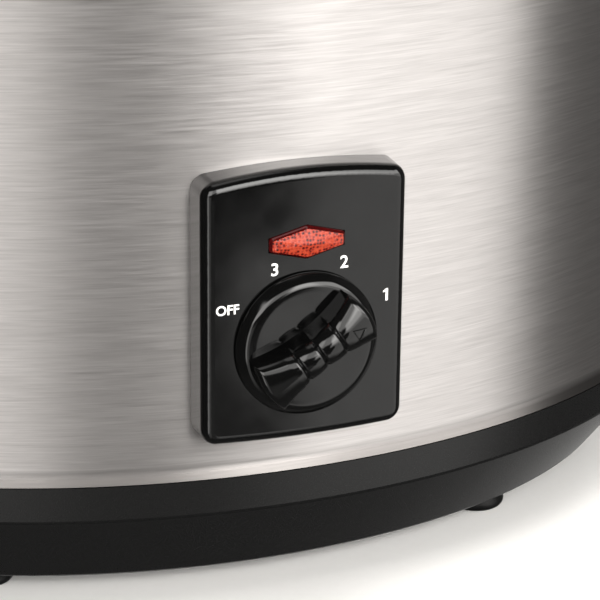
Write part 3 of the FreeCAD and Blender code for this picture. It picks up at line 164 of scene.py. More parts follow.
def lightTent():
    world = bpy.data.worlds.new("lightTent")
    scene.world = world
    world.use_nodes = True
    tree = world.node_tree
    coords = addNode(tree, "ShaderNodeTexCoord")
    parts = addNode(tree, "ShaderNodeSeparateXYZ", links={"Vector": coords.outputs["Generated"]}).outputs
    front = addNode(tree, "ShaderNodeMath", {"operation": "MULTIPLY", 1: -1}, {0: parts["Y"]}).outputs[0]
    turn = addNode(tree, "ShaderNodeMath", {"operation": "ARCTAN2"}, {0: parts["X"], 1: front}).outputs[0]
    rise = addNode(tree, "ShaderNodeMath", {"operation": "ARCSINE"}, {0: parts["Z"]}).outputs[0]
    total = None
    for box in studio["boxes"]:
        glow = None
        for angle, edges in ((turn, box["turn"]), (rise, box["rise"])):
            for (low, high), rising in ((edges[:2], 1), (edges[2:], 0)):
                settings = {
                    "interpolation_type": "SMOOTHSTEP", "From Min": math.radians(low),
                    "From Max": math.radians(high), "To Min": 1 - rising, "To Max": rising,
                }
                edge = addNode(tree, "ShaderNodeMapRange", settings, {"Value": angle}).outputs["Result"]
                if glow is None:
                    glow = edge
                    continue
                links = {0: glow, 1: edge}
                glow = addNode(tree, "ShaderNodeMath", {"operation": "MULTIPLY"}, links).outputs[0]
        settings = {"operation": "MULTIPLY_ADD", 1: box["level"], 2: studio["gloom"]}
        links = {0: glow} if total is None else {0: glow, 2: total}
        total = addNode(tree, "ShaderNodeMath", settings, links).outputs[0]
    background = tree.nodes["Background"]
    background.inputs["Color"].default_value = toLinear(studio["warm"])
    tree.links.new(total, background.inputs["Strength"])


def addDiffusers():
    # these light the floor and the matt surfaces; the tent alone makes the reflections
    for diffuser in studio["diffusers"]:
        light = bpy.data.lights.new("diffuser", "AREA")
        light.size = diffuser["size"]
        light.energy = diffuser["power"]
        light.color = toLinear(studio["warm"])[:3]
        holder = bpy.data.objects.new("diffuser", light)
        holder.location = diffuser["place"]
        beam = Vector(diffuser["aim"]) - Vector(diffuser["place"])
        holder.rotation_euler = beam.to_track_quat("-Z", "Y").to_euler()
        holder.visible_glossy = False
        scene.collection.objects.link(holder)


# the floor: matt sweep paper, whose fibres give it a faint even mottle; size in metres, grain in mm
floorPaper = {"size": 6.0, "dark": "efeeec", "light": "f4f3f1", "roughness": 0.9, "grain": 3}


def paleFloor():
    bm = bmesh.new()
    bmesh.ops.create_grid(bm, x_segments=1, y_segments=1, size=floorPaper["size"] / 2)
    floor = makeObject("studioFloor", bm)
    material, tree, shader = newMaterial("matt sweep paper", {"Roughness": floorPaper["roughness"]})
    fibres = grainPattern(tree, floorPaper["grain"])
    dressSurface(tree, shader, tone=(fibres, floorPaper["dark"], floorPaper["light"]))
    floor.data.materials.append(material)
    floor.visible_glossy = False      # the tent's own lower half stands for it in reflections


# camera: the photograph's view, from the left and above, with a long lens; angles in degrees,
# the lens and its sensor in mm, places in metres
view = {
    "azimuth": -20.91, "elevation": 20.36, "roll": 0.59, "lens": 155.46, "sensor": 36,
    "away": 0.769, "nearest": 0.05, "target": (0.00264, -0.13277, 0.09887),
}


def addCamera():
    azimuth, elevation, roll = (math.radians(view[key]) for key in ("azimuth", "elevation", "roll"))
    flat = math.cos(elevation)
    back = Vector((math.sin(azimuth) * flat, -math.cos(azimuth) * flat, math.sin(elevation)))
    right = Vector((math.cos(azimuth), math.sin(azimuth), 0))
    turned = Matrix((right, back.cross(right), back)).transposed() @ Matrix.Rotation(roll, 3, "Z")
    camera = bpy.data.objects.new("camera", bpy.data.cameras.new("camera"))
    camera.data.lens = view["lens"]
    camera.data.sensor_width = view["sensor"]
    camera.data.clip_start = view["nearest"]
    camera.matrix_world = Matrix.Translation(Vector(view["target"]) + back * view["away"]) @ turned.to_4x4()
    scene.collection.objects.link(camera)
    scene.camera = camera
    scene.view_settings.view_transform = "Standard"


# brushed stainless steel sheet: fine level scratches spread every reflection up and down;
# they are drawn coarser than real ones so that they show, sizes in mm
steel = {
    "dark": "a19d9b", "light": "ebe7e5", "roughness": (0.285, 0.385), "anisotropy": 0.84, "turned": 0.25,
    "grain": 0.3, "streak": 60, "scratch": 0.8, "scratchLong": 25, "scratchShare": 0.5,
    # flare is the colour of the painted shade on the flare, which fades out between flareFrom and flareTo mm
    # up
    "relief": 0.004, "strength": 0.5, "flare": "7b7876", "flareFrom": 48.4, "flareTo": 51.2,
}


def brushedStainless():
    material, tree, shader = newMaterial("brushed stainless steel", {
        "Metallic": 1.0, "Anisotropic": steel["anisotropy"], "Anisotropic Rotation": steel["turned"],
    })
    brush = grainPattern(tree, steel["grain"], detail=4, stretch=steel["streak"])
    scratch = grainPattern(tree, steel["scratch"], stretch=steel["scratchLong"])
    settings = {"data_type": "FLOAT", 0: steel["scratchShare"]}
    both = addNode(tree, "ShaderNodeMix", settings, {2: brush, 3: scratch}).outputs[0]
    settings = {"data_type": "RGBA", 6: toLinear(steel["dark"]), 7: toLinear(steel["light"])}
    brushed = addNode(tree, "ShaderNodeMix", settings, {0: both}).outputs[2]
    # painted shade: the flare's steel is given a darker colour that dims its reflection
    # a darker tone on the flare, chosen so that it does not shine whiter than the photograph shows
    coords = addNode(tree, "ShaderNodeTexCoord")
    height = addNode(tree, "ShaderNodeSeparateXYZ", links={"Vector": coords.outputs["Object"]}).outputs["Z"]
    settings = {"From Min": steel["flareFrom"] * mm, "From Max": steel["flareTo"] * mm}
    above = addNode(tree, "ShaderNodeMapRange", settings, {"Value": height}).outputs["Result"]
    settings = {"data_type": "RGBA", 6: toLinear(steel["flare"])}
    sheet = addNode(tree, "ShaderNodeMix", settings, {0: above, 7: brushed}).outputs[2]
    tree.links.new(sheet, shader.inputs["Base Color"])
    around = addNode(tree, "ShaderNodeTangent", {"direction_type": "RADIAL", "axis": "Z"})
    tree.links.new(around.outputs["Tangent"], shader.inputs["Tangent"])
    low, high = steel["roughness"]
    dressSurface(tree, shader, shine=(brush, low, high), relief=(brush, steel["relief"], steel["strength"]))
    return material


# gloss black ABS: a polished mould leaves it nearly mirror smooth, with a faint slow ripple; sizes in mm
glossBlack = {
    "dark": "030303", "light": "060606", "ior": 1.53, "roughness": (0.05, 0.1), "ripple": 9, "grain": 0.6,
    "relief": 0.01, "strength": 0.4,
}


def glossAbs():
    material, tree, shader = newMaterial("gloss black ABS", {"IOR": glossBlack["ior"]})
    ripple = grainPattern(tree, glossBlack["ripple"], detail=1)
    grain = grainPattern(tree, glossBlack["grain"], detail=2)
    low, high = glossBlack["roughness"]
    dressSurface(
        tree, shader, tone=(grain, glossBlack["dark"], glossBlack["light"]), shine=(ripple, low, high),
        relief=(ripple, glossBlack["relief"], glossBlack["strength"]),
    )
    return material


# black polypropylene: a spark-eroded mould gives it a fine even tooth and a broad soft sheen;
# the tooth is drawn coarser than the real one so that it shows, sizes in mm
satinBlack = {
    "dark": "060606", "light": "0c0c0c", "ior": 1.49, "roughness": (0.24, 0.35), "tooth": 0.35,
    "relief": 0.012, "strength": 0.5,
}


def satinPolypropylene():
    material, tree, shader = newMaterial("satin black polypropylene", {"IOR": satinBlack["ior"]})
    tooth = grainPattern(tree, satinBlack["tooth"])
    low, high = satinBlack["roughness"]
    dressSurface(
        tree, shader, tone=(tooth, satinBlack["dark"], satinBlack["light"]), shine=(tooth, low, high),
        relief=(tooth, satinBlack["relief"], satinBlack["strength"]),
    )
    return material


# finishes of the pieces that are small or inside: two colours, metal or not, roughness, grain in mm,
# relief in mm and IOR
plainFinishes = {
    "moulded black rubber": ("030303", "060606", 0, 0.45, 0.5, 0.02, 1.3),         # soft and nearly dull
    "spun aluminised steel": ("a9a8a4", "bdbcb8", 1, 0.45, 1.2, 0.01, 1.5),        # a broad grey sheen
    "mica heater foil": ("8f8a7c", "b3ad9c", 1, 0.5, 2.5, 0.05, 1.5),              # crinkled, a dull glint
    "zinc plated steel": ("b0b1ad", "c9cac6", 1, 0.3, 0.6, 0.006, 1.5),            # bright, a bit cloudy
    "bright brass": ("b08d43", "c9a85c", 1, 0.25, 0.5, 0.006, 1.5),                # warm and shiny
    "white nylon": ("d8d4c9", "e6e3da", 0, 0.45, 0.8, 0.02, 1.53),                 # milky, half dull
    "brown phenolic": ("2a1a12", "3c281c", 0, 0.4, 0.7, 0.02, 1.6),                # deep brown, half gloss
    "black silicone": ("161616", "202020", 0, 0.6, 0.4, 0.02, 1.43),               # soft and dull
    "silicone wire sleeve": ("b7b5ae", "c9c7c1", 0, 0.6, 0.5, 0.015, 1.43),        # pale and dull
    "polished stainless steel": ("c9c7c3", "d6d4d0", 1, 0.16, 0.4, 0.003, 1.5),    # nearly a mirror
}
plainSurface = {"spread": 0.12, "strength": 0.5}      # roughness to each side, as a share, and bump strength


def plainFinish(name):
    dark, light, metal, roughness, grain, relief, ior = plainFinishes[name]
    material, tree, shader = newMaterial(name, {"Metallic": metal, "IOR": ior})
    pattern = grainPattern(tree, grain)
    low, high = (roughness * (1 + side * plainSurface["spread"]) for side in (-1, 1))
    dressSurface(
        tree, shader, tone=(pattern, dark, light), shine=(pattern, low, high),
        relief=(pattern, relief, plainSurface["strength"]),
    )
    return material


# glazed stoneware: a thick glossy black glaze with a slow ripple and a few iron specks, sizes in mm
glaze = {
    "dark": "090807", "light": "14110f", "ior": 1.52, "roughness": 0.07, "coat": 0.5, "coatRoughness": 0.03,
    "speck": 1.4, "ripple": 14, "relief": 0.12, "strength": 0.4,
}


def glazedStoneware():
    material, tree, shader = newMaterial("glazed black stoneware", {
        "IOR": glaze["ior"], "Roughness": glaze["roughness"], "Coat Weight": glaze["coat"],
        "Coat Roughness": glaze["coatRoughness"],
    })
    settings = {"From Min": noiseReach[0], "From Max": noiseReach[1]}
    links = {"Value": grainPattern(tree, glaze["speck"], detail=5)}
    specks = addNode(tree, "ShaderNodeMapRange", settings, links).outputs["Result"]
    ripple = grainPattern(tree, glaze["ripple"], detail=1)
    dressSurface(
        tree, shader, tone=(specks, glaze["dark"], glaze["light"]),
        relief=(ripple, glaze["relief"], glaze["strength"]),
    )
    return material


# tempered soda-lime glass: clear, faintly green in the thick, with the slow waver of a pressed lid
lidGlass = {"colour": "eef5f1", "ior": 1.52, "roughness": 0.02, "waver": 30, "relief": 0.05, "strength": 0.3}


def temperedGlass():
    material, tree, shader = newMaterial("tempered glass", {
        "Base Color": toLinear(lidGlass["colour"]), "Roughness": lidGlass["roughness"],
        "IOR": lidGlass["ior"], "Transmission Weight": 1.0,
    })
    waver = grainPattern(tree, lidGlass["waver"], detail=1)
    dressSurface(tree, shader, relief=(waver, lidGlass["relief"], lidGlass["strength"]))
    return material


# the neon lamp's drawn glass tube: clear, with a warm cloudy tinge
lampTube = {"dark": "f2b8a2", "light": "f7d2c4", "ior": 1.5, "roughness": 0.03, "clear": 0.85, "cloud": 1.5}


def lampGlass():
    material, tree, shader = newMaterial("lamp glass", {
        "Roughness": lampTube["roughness"], "IOR": lampTube["ior"], "Transmission Weight": lampTube["clear"],
    })
    cloud = grainPattern(tree, lampTube["cloud"])
    dressSurface(tree, shader, tone=(cloud, lampTube["dark"], lampTube["light"]))
    return material


# moulded red polycarbonate: a field of small prisms under a soft gloss, in mm, whose light and dark sparkle
# is painted into the colour;
# the sparkle's colours sit at places on the pattern, from the painted shade in the pits, through the
# plastic's own red, up to the painted glint
redLens = {
    "sparkleTones": ((0.18, "240201"), (0.36, "78180a"), (0.6, "9a341c")), "ior": 1.58, "specular": 0.28,
    "roughness": 0.3, "prism": 1.1, "uneven": 0.5, "relief": 0.2, "strength": 0.45,
}


def redPolycarbonate():
    material, tree, shader = newMaterial("red polycarbonate", {
        "IOR": redLens["ior"], "Roughness": redLens["roughness"], "Specular IOR Level": redLens["specular"],
    })
    coords = addNode(tree, "ShaderNodeTexCoord")
    settings = {"Scale": 1 / (redLens["prism"] * mm), "Randomness": redLens["uneven"]}
    cells = addNode(tree, "ShaderNodeTexVoronoi", settings, {"Vector": coords.outputs["Object"]})
    # painted light: the prisms' sparkle is painted into the colour, shade in the pits and a glint towards
    # the cell edges
    ramp = addNode(tree, "ShaderNodeValToRGB", links={"Fac": cells.outputs["Distance"]})
    stops = ramp.color_ramp.elements
    stops.new(0.5)      # a third one, between the two that a ramp starts with
    for stop, (place, tone) in zip(stops, redLens["sparkleTones"]):
        stop.position = place
        stop.color = toLinear(tone)
    tree.links.new(ramp.outputs["Color"], shader.inputs["Base Color"])
    dressSurface(tree, shader, relief=(cells.outputs["Distance"], redLens["relief"], redLens["strength"]))
    return material


# the same plastic at the jewel's clear bevelled edge, where it is thick and looks deep: a darker copy of it,
# whose colour is painted shade
redEdge = {"dark": "160102", "light": "4a0505", "ior": 1.58, "roughness": 0.08, "streak": 1.6}


def shadedRedPolycarbonate():
    material, tree, shader = newMaterial("red polycarbonate in painted shade", {
        "IOR": redEdge["ior"], "Roughness": redEdge["roughness"],
    })
    streak = grainPattern(tree, redEdge["streak"], detail=2)
    dressSurface(tree, shader, tone=(streak, redEdge["dark"], redEdge["light"]))
    return material


# white screen-printed ink: a thin, slightly uneven matt film
ink = {"dark": "dedcd8", "light": "f2f1ee", "roughness": 0.5, "film": 0.4, "relief": 0.01, "strength": 0.4}


def screenInk():
    material, tree, shader = newMaterial("white screen ink", {"Roughness": ink["roughness"]})
    film = grainPattern(tree, ink["film"], detail=2)
    dressSurface(
        tree, shader, tone=(film, ink["dark"], ink["light"]), relief=(film, ink["relief"], ink["strength"]),
    )
    return material


# the finish of each CAD node
footNodes = [name for name in nodes if name.startswith("foot_")]
nodeFinishes = {
    "brushed": ["outer_shell"],
    "polished stainless steel": ["lid_rim"],
    "satin": ["base_tray", "handle_left", "handle_right", "cord_gland", "gland_nut", "lid_knob"],
    "gloss": ["control_panel", "control_knob"],
    "moulded black rubber": footNodes,
    "spun aluminised steel": ["inner_liner"],
    "mica heater foil": ["heater_band"],
    "bright brass": ["heater_terminals", "switch_terminals", "terminal_screws"],
    "zinc plated steel": [
        "heater_clamp_bolt", "clamp_stud", "clamp_washer", "clamp_nut", "fuse_clip", "panel_screws",
        "switch_screws", "handle_screws", "switch_shaft", "knob_spring_clip", "lid_screw", "thermal_fuse",
    ],
    "white nylon": ["lamp_holder", "terminal_block"],
    "brown phenolic": ["switch_case"],
    "black silicone": ["lid_washer", "steam_vent"],
    "silicone wire sleeve": ["wire_live", "wire_neutral", "wire_high", "wire_low", "lamp_leads"],
    "stoneware": ["crock"],
    "glass": ["lid_glass"],
    "lamp": ["neon_lamp"],
    "red": ["indicator_lens"],
}


def dressNodes(finish):
    for key, names in nodeFinishes.items():
        for name in names:
            nodes[name].data.materials.clear()
            nodes[name].data.materials.append(finish[key])


def only(kind, geometry):
    return [item for item in geometry if isinstance(item, kind)]


def turnOutline(bm, outline, steps):
    # spins an outline of radius and height about the z axis, and returns the faces that it made
    before = set(bm.verts)
    verts = [bm.verts.new((radius, 0, height)) for radius, height in outline]
    edges = [bm.edges.new(pair) for pair in zip(verts, verts[1:])]
    bmesh.ops.spin(bm, geom=verts + edges, cent=(0, 0, 0), axis=(0, 0, 1), angle=math.tau, steps=steps,
                   use_merge=True)
    turned = [vert for vert in bm.verts if vert not in before]
    bmesh.ops.remove_doubles(bm, verts=turned, dist=weld)
    return [face for face in bm.faces if face.verts[0] not in before]


def roundRing(bm, radius, height, size, steps):
    # rounds one circular edge of a turned shape
    def onRing(vert):
        return abs(vert.co.xy.length - radius) < same and abs(vert.co.z - height) < same

    ring = [edge for edge in bm.edges if all(onRing(vert) for vert in edge.verts)]
    bmesh.ops.bevel(bm, geom=ring, offset=size, segments=steps, profile=0.5, affect="EDGES", material=-1)


# the steel wrap: an oval sheet with a gentle flare at its bottom edge, in mm;
# insets are from the base's own oval, and guard is a strip that keeps the flare's shading off the wall above
wrap = {
    "half": (187, 137.5), "inset": 2.0, "top": 198, "flareTop": 49.1, "lip": 46.25, "lipInset": 0.5,
    "blend": 1.0, "blendSteps": 8, "guard": 4, "thick": 0.7, "turnSteps": 288, "smooth": 38,
}


def wrapMesh():
    bm = bmesh.new()
    halfLong, halfWide = wrap["half"]
    radius = halfLong - wrap["inset"]
    bend = wrap["flareTop"]
    outline = [
        (radius, wrap["top"]), (radius, bend + wrap["guard"]), (radius, bend),
        (halfLong - wrap["lipInset"], wrap["lip"]),
    ]
    turnOutline(bm, outline, wrap["turnSteps"])
    roundRing(bm, radius, bend, wrap["blend"], wrap["blendSteps"])
    for vert in bm.verts:
        reach = vert.co.xy.length
        vert.co.y *= (halfWide - halfLong + reach) / reach      # the round becomes the oval, insets kept
    bmesh.ops.recalc_face_normals(bm, faces=bm.faces)
    bmesh.ops.solidify(bm, geom=bm.faces, thickness=wrap["thick"])
    bmesh.ops.scale(bm, vec=(mm, mm, mm), verts=bm.verts)
    return bm


# the feet: plump rubber buttons, a little wider below than where they meet the base, each on a barbed stem;
# in mm, with grow and neck from the node's own radius and waist as a share of the button's height
foot = {
    "grow": 0.9, "neck": 0.9, "waist": 0.45, "bevel": 2.2, "bevelSteps": 6, "stem": 3.0,
    "barbFrom": 8.5, "barb": 4.2, "barbRise": 0.7, "tip": 2.4, "turnSteps": 64, "smooth": 38,
}


def footMesh(node):
    low, high = (Vector(corner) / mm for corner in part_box(node))
    centre = (low + high) / 2
    radius = (high.x - low.x) / 2
    tall = high.z - low.z
    wide = radius + foot["grow"]
    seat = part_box("base_tray")[0][2] / mm - low.z      # the base's underside, where the button ends
    outline = [
        (0, 0), (wide, 0), (wide, seat * foot["waist"]), (radius - foot["neck"], seat), (foot["stem"], seat),
        (foot["stem"], foot["barbFrom"]), (foot["barb"], foot["barbFrom"] + foot["barbRise"]),
        (foot["tip"], tall), (0, tall),
    ]
    bm = bmesh.new()
    faces = turnOutline(bm, outline, foot["turnSteps"])
    bmesh.ops.recalc_face_normals(bm, faces=faces)
    roundRing(bm, wide, 0, foot["bevel"], foot["bevelSteps"])
    bmesh.ops.translate(bm, vec=(centre.x, centre.y, low.z), verts=bm.verts)
    bmesh.ops.scale(bm, vec=(mm, mm, mm), verts=bm.verts)
    return bm


# the selector knob: a conical skirt that carries an hourglass grip with four cushioned segments, in mm;
# heights are from the panel, places along the grip from the knob's centre, angles in degrees
knob = {
    "gap": 0.6, "gapRound": 0.2, "gapSteps": 3, "land": 1.5, "landRound": 0.4, "landSteps": 4, "foot": 22.1,
    "brow": 19.4, "browRound": 1.3, "browSteps": 8, "floor": 4.2, "wall": 1.6,
    "top": 14.3, "end": 19.2, "halfEnd": 9.1, "halfMid": 6.2, "draft": 8, "crown": 90, "round": 2.0,
    "camber": 2.6, "sunk": 0.5, "cushion": 0.15, "cushionReach": 3.25, "scallop": 0.25,
    "grooves": (-6.1, 0.6, 7.6), "grooveWidth": 0.45, "grooveDepth": 0.7, "grooveNotch": 0.15,
    "point": 33, "turnSteps": 160, "along": 192, "across": 32, "walls": 12, "settle": 4, "smooth": 38,
}


def knobFrame():
    # x along the pointer, y across it, z out of the panel, from the hinge's own place and axis
    joint = next(j for j in frame["record"]["behaviour"]["joints"] if j["name"] == "knob_turn")
    out = Vector(joint["axis"])
    point = math.radians(knob["point"])
    along = Vector((math.cos(point), 0, math.sin(point)))
    turned = Matrix((along, out.cross(along), out)).transposed()
    return Matrix.Translation(joint["pos_m"]) @ turned.to_4x4() @ Matrix.Scale(mm, 4)


def cushioned(x):
    # how far up its cushion a place on the grip is, and how deep in a groove, both from 0 to 1
    away = min(abs(x - groove) for groove in knob["grooves"])
    swell = math.sin(math.pi / 2 * min(1, away / knob["cushionReach"])) ** 2
    return swell, math.exp(-(away / knob["grooveWidth"]) ** 2)


def gripHeight(x):
    swell, groove = cushioned(x)
    crown = knob["top"] - knob["crown"] + math.sqrt(knob["crown"] ** 2 - x ** 2)
    return crown - knob["cushion"] * (1 - swell) - knob["grooveDepth"] * groove


def gripPoint(lengthwise, crosswise, down):
    # a place on the grip: along and across it, from -1 to 1, and down its side wall, from 0 to 1
    across = math.sin(crosswise * math.pi / 2)
    lean = math.tan(math.radians(knob["draft"]))
    reachEnd = math.sqrt(knob["end"] ** 2 - knob["halfEnd"] ** 2)
    x = lengthwise * knob["end"]
    for _ in range(knob["settle"]):      # the width depends on x, and at the round end x on the width
        swell, groove = cushioned(x)
        edge = gripHeight(x) - knob["round"] - knob["camber"]
        z = edge + (knob["floor"] - knob["sunk"] - edge) * down
        inset = (z - knob["floor"]) * lean
        half = knob["halfMid"] + (knob["halfEnd"] - knob["halfMid"]) * (x / reachEnd) ** 2 - inset
        half -= (knob["scallop"] * (1 - swell) + knob["grooveNotch"] * groove) * (1 - down) ** 2
        y = across * half
        x = lengthwise * math.sqrt(knob["end"] ** 2 - y ** 2)
    if down == 0:
        near = min((1 - abs(across)) * half, (1 - abs(lengthwise)) * knob["end"], knob["round"])
        rounded = math.sqrt(knob["round"] ** 2 - (knob["round"] - near) ** 2)
        z = edge + rounded + knob["camber"] * (1 - across ** 2)
    return Vector((x, y, z))


def knobMesh():
    bm = bmesh.new()
    bmesh.ops.create_grid(bm, x_segments=knob["along"], y_segments=knob["across"], size=1)
    rim = [edge for edge in bm.edges if edge.is_boundary]
    for step in range(1, knob["walls"] + 1):
        made = bmesh.ops.extrude_edge_only(bm, edges=rim)["geom"]
        for vert in only(bmesh.types.BMVert, made):
            vert.co.z = -step / knob["walls"]
        rim = [edge for edge in only(bmesh.types.BMEdge, made) if edge.is_boundary]
    for vert in bm.verts:
        vert.co = gripPoint(vert.co.x, vert.co.y, -vert.co.z)
    bmesh.ops.recalc_face_normals(bm, faces=bm.faces)
    inner = knob["foot"] - knob["wall"]
    under = knob["floor"] - knob["wall"]
    outline = [
        (0, knob["floor"]), (knob["brow"] - 2 * knob["browRound"], knob["floor"]),
        (knob["brow"], knob["floor"]), (knob["foot"], knob["land"]), (knob["foot"], knob["gap"]),
        (inner, knob["gap"]), (inner, knob["land"]), (knob["brow"] - knob["wall"], under), (0, under),
    ]
    skirt = turnOutline(bm, outline, knob["turnSteps"])
    bmesh.ops.recalc_face_normals(bm, faces=skirt)
    roundRing(bm, knob["brow"], knob["floor"], knob["browRound"], knob["browSteps"])
    roundRing(bm, knob["foot"], knob["land"], knob["landRound"], knob["landSteps"])
    roundRing(bm, knob["foot"], knob["gap"], knob["gapRound"], knob["gapSteps"])
    bmesh.ops.transform(bm, matrix=knobFrame(), verts=bm.verts)
    return bm


# the pointer: a thin raised outline of a triangle on the grip's last cushion, in mm;
# narrower is how much less half width the grip's top has than its foot
pointer = {
    "place": 13.2, "aside": -1.4, "radius": 2.6, "line": 0.6, "proud": 0.5, "sunk": 0.1, "narrower": 3,
    "cuts": 4, "soft": 0.24, "softSteps": 3, "softFrom": 57, "smooth": 30,
}


def pointerMesh():
    bm = bmesh.new()
    bmesh.ops.create_circle(bm, cap_ends=True, segments=3, radius=pointer["radius"])
    made = bmesh.ops.inset_region(
        bm, faces=list(bm.faces), thickness=pointer["line"], use_boundary=True,
    )["faces"]
    inside = [face for face in bm.faces if face not in made]
    bmesh.ops.delete(bm, geom=inside, context="FACES")
    bmesh.ops.subdivide_edges(bm, edges=list(bm.edges), cuts=pointer["cuts"], use_grid_fill=True)
    bmesh.ops.rotate(bm, verts=bm.verts, matrix=Matrix.Rotation(-math.pi / 2, 3, "Z"))
    made = bmesh.ops.extrude_face_region(bm, geom=list(bm.faces))["geom"]
    upper = set(only(bmesh.types.BMVert, made))
    for vert in bm.verts:
        vert.co.x += pointer["place"]
        vert.co.y += pointer["aside"]
        camber = knob["camber"] * (vert.co.y / (knob["halfEnd"] - pointer["narrower"])) ** 2
        rise = pointer["proud"] if vert in upper else -pointer["sunk"]
        vert.co.z = gripHeight(vert.co.x) - camber + rise
    bmesh.ops.recalc_face_normals(bm, faces=bm.faces)
    sharp = math.radians(pointer["softFrom"])
    lines = [
        edge for edge in bm.edges
        if all(vert in upper for vert in edge.verts) and edge.calc_face_angle(0) > sharp
    ]
    bmesh.ops.bevel(bm, geom=lines, offset=pointer["soft"], segments=pointer["softSteps"], profile=0.5,
                    affect="EDGES", material=-1)
    bmesh.ops.transform(bm, matrix=knobFrame(), verts=bm.verts)
    return bm


# the indicator's jewel: a six-sided window with a bevelled edge and six shallow facets of small prisms;
# in mm, and faces under the smallest area, in square mm, get no prism
jewel = {
    "centre": 121.4, "half": 11.7, "halfEnd": 2.1, "halfMid": 5.1, "corner": 0.8, "cornerSteps": 3,
    "buried": 2.0, "edge": 0.3, "bevel": 0.75, "bevelRise": 0.9, "soft": 0.14, "softSteps": 2,
    "peak": 1.5, "prismCuts": 5, "prismRise": 0.06, "smallest": 0.25, "smooth": 25,
}


def jewelMesh():
    bm = bmesh.new()
    half, low, high = jewel["half"], jewel["halfEnd"], jewel["halfMid"]
    corners = [(-half, -low), (0, -high), (half, -low), (half, low), (0, high), (-half, low)]
    bm.faces.new([bm.verts.new((x, y, -jewel["buried"])) for x, y in corners])
    bmesh.ops.bevel(bm, geom=bm.verts, offset=jewel["corner"], segments=jewel["cornerSteps"], profile=0.5,
                    affect="VERTICES", material=-1)
    made = bmesh.ops.extrude_face_region(bm, geom=bm.faces)["geom"]
    lifted = only(bmesh.types.BMVert, made)
    bmesh.ops.translate(bm, verts=lifted, vec=(0, 0, jewel["buried"] + jewel["edge"]))
    front = only(bmesh.types.BMFace, made)
    bmesh.ops.recalc_face_normals(bm, faces=bm.faces)
    bmesh.ops.inset_region(bm, faces=front, thickness=jewel["bevel"], depth=jewel["bevelRise"])
    for face in bm.faces:
        # index 1, the edge, takes the darker copy with painted shade
        face.material_index = 0 if face in front else 1      # the lens, or its clear edge
    outer = [edge for edge in bm.edges if all(abs(vert.co.z - jewel["edge"]) < same for vert in edge.verts)]
    bmesh.ops.bevel(bm, geom=outer, offset=jewel["soft"], segments=jewel["softSteps"], profile=0.5,
                    affect="EDGES", material=-1)
    lens = [face for face in bm.faces if face.material_index == 0]
    facets = bmesh.ops.poke(bm, faces=lens, offset=jewel["peak"])["faces"]
    lines = list({edge for face in facets for edge in face.edges})
    bmesh.ops.subdivide_edges(bm, edges=lines, cuts=jewel["prismCuts"], use_grid_fill=True)
    prisms = [face for face in bm.faces if face.material_index == 0 and face.calc_area() > jewel["smallest"]]
    bmesh.ops.poke(bm, faces=prisms, offset=jewel["prismRise"])
    upright = Matrix.Rotation(math.pi / 2, 4, "X")
    place = Matrix.Translation((0, panelFace, jewel["centre"] * mm)) @ upright @ Matrix.Scale(mm, 4)
    bmesh.ops.transform(bm, matrix=place, verts=bm.verts)
    return bm


# the settings round the knob: OFF and three plain numbers; each has its place to the right of and above
# the knob's centre and its letter size, in mm, and the outline of the one is in shares of its height
settingMarks = {
    "places": {
        "OFF": (-24.3, 12.8, 4.1), "3": (-9.8, 23.5, 5.4), "2": (11.8, 23.5, 5.4), "1": (25.3, 11.9, 5.4),
    },
    "one": [
        (0.14, -0.5), (0.14, 0.5), (0.0, 0.5), (-0.26, 0.32), (-0.26, 0.17), (-0.06, 0.27), (-0.06, -0.5),
    ],
    "oneTall": 0.72, "proud": 0.03, "bolder": 0.09, "curveSteps": 6,
}


def oneMesh(size):
    # the built-in font's one is a bare stroke, so this one has a flag
    bm = bmesh.new()
    tall = size * settingMarks["oneTall"]
    proud = settingMarks["proud"]
    face = bm.faces.new([bm.verts.new((x * tall, y * tall, -proud)) for x, y in settingMarks["one"]])
    made = bmesh.ops.extrude_face_region(bm, geom=[face])["geom"]
    bmesh.ops.translate(bm, verts=only(bmesh.types.BMVert, made), vec=(0, 0, 2 * proud))
    bmesh.ops.recalc_face_normals(bm, faces=bm.faces)
    bmesh.ops.scale(bm, vec=(mm, mm, mm), verts=bm.verts)
    mesh = bpy.data.meshes.new("setting")
    bm.to_mesh(mesh)
    bm.free()
    return mesh


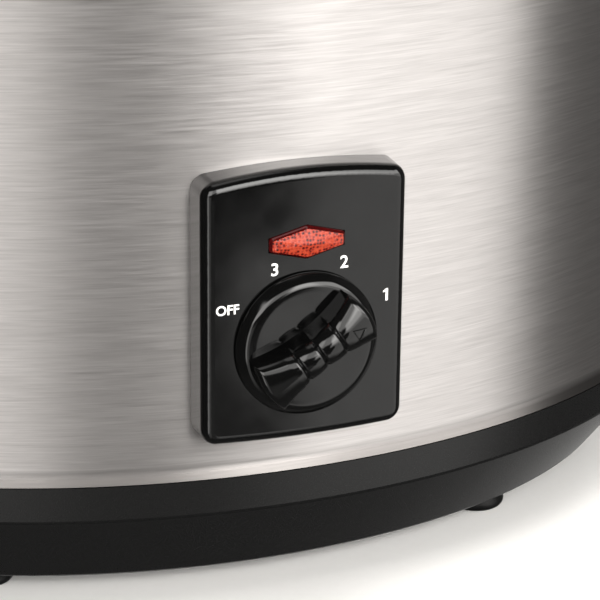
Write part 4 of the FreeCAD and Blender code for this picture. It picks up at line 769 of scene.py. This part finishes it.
def wordMesh(words, size):
    curve = bpy.data.curves.new("setting", "FONT")
    curve.body = words
    curve.size = size * mm
    curve.align_x = "CENTER"
    curve.align_y = "CENTER"
    curve.extrude = settingMarks["proud"] * mm
    curve.offset = settingMarks["bolder"] * mm
    curve.resolution_u = settingMarks["curveSteps"]
    holder = bpy.data.objects.new("setting", curve)
    scene.collection.objects.link(holder)
    bpy.context.view_layer.update()
    mesh = bpy.data.meshes.new_from_object(holder.evaluated_get(bpy.context.evaluated_depsgraph_get()))
    bpy.data.objects.remove(holder)
    return mesh


def addSettings(material):
    centre = knobFrame().translation
    for index, (words, (x, z, size)) in enumerate(settingMarks["places"].items()):
        mesh = oneMesh(size) if words == "1" else wordMesh(words, size)
        place = Vector((centre.x + x * mm, panelFace, centre.z + z * mm))
        mesh.transform(Matrix.Translation(place) @ Matrix.Rotation(math.pi / 2, 4, "X"))
        mesh.materials.append(material)
        piece = bpy.data.objects.new("setting_mark_%d" % (index + 1), mesh)
        scene.collection.objects.link(piece)
        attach(piece, "housing")


lightTent()
addDiffusers()
paleFloor()
addCamera()
print("studio ready")

finish = {name: plainFinish(name) for name in plainFinishes}
finish.update({
    "brushed": brushedStainless(),
    "gloss": glossAbs(),
    "satin": satinPolypropylene(),
    "stoneware": glazedStoneware(),
    "glass": temperedGlass(),
    "lamp": lampGlass(),
    "red": redPolycarbonate(),
})
dressNodes(finish)
print("finishes on", len(nodes), "nodes")

wrapPiece = makeObject("steel_wrap", wrapMesh(), wrap["smooth"])
wrapPiece.data.materials.append(finish["brushed"])
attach(wrapPiece, "housing")
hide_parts("outer_shell")
for node in footNodes:
    footPiece = makeObject("rubber_" + node, footMesh(node), foot["smooth"])
    footPiece.data.materials.append(finish["moulded black rubber"])
    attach(footPiece, "housing")
    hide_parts(node)
print("wrap and feet made")

knobPiece = makeObject("selector_knob", knobMesh(), knob["smooth"])
knobPiece.data.materials.append(finish["gloss"])
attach(knobPiece, "selector")
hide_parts("control_knob")

pointerPiece = makeObject("pointer_mark", pointerMesh(), pointer["smooth"])
pointerPiece.data.materials.append(finish["gloss"])
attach(pointerPiece, "selector")
print("knob and pointer made")

jewelPiece = makeObject("indicator_jewel", jewelMesh(), jewel["smooth"])
jewelPiece.data.materials.append(finish["red"])
jewelPiece.data.materials.append(shadedRedPolycarbonate())
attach(jewelPiece, "housing")
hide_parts("indicator_lens")
addSettings(screenInk())
print("jewel and settings made")
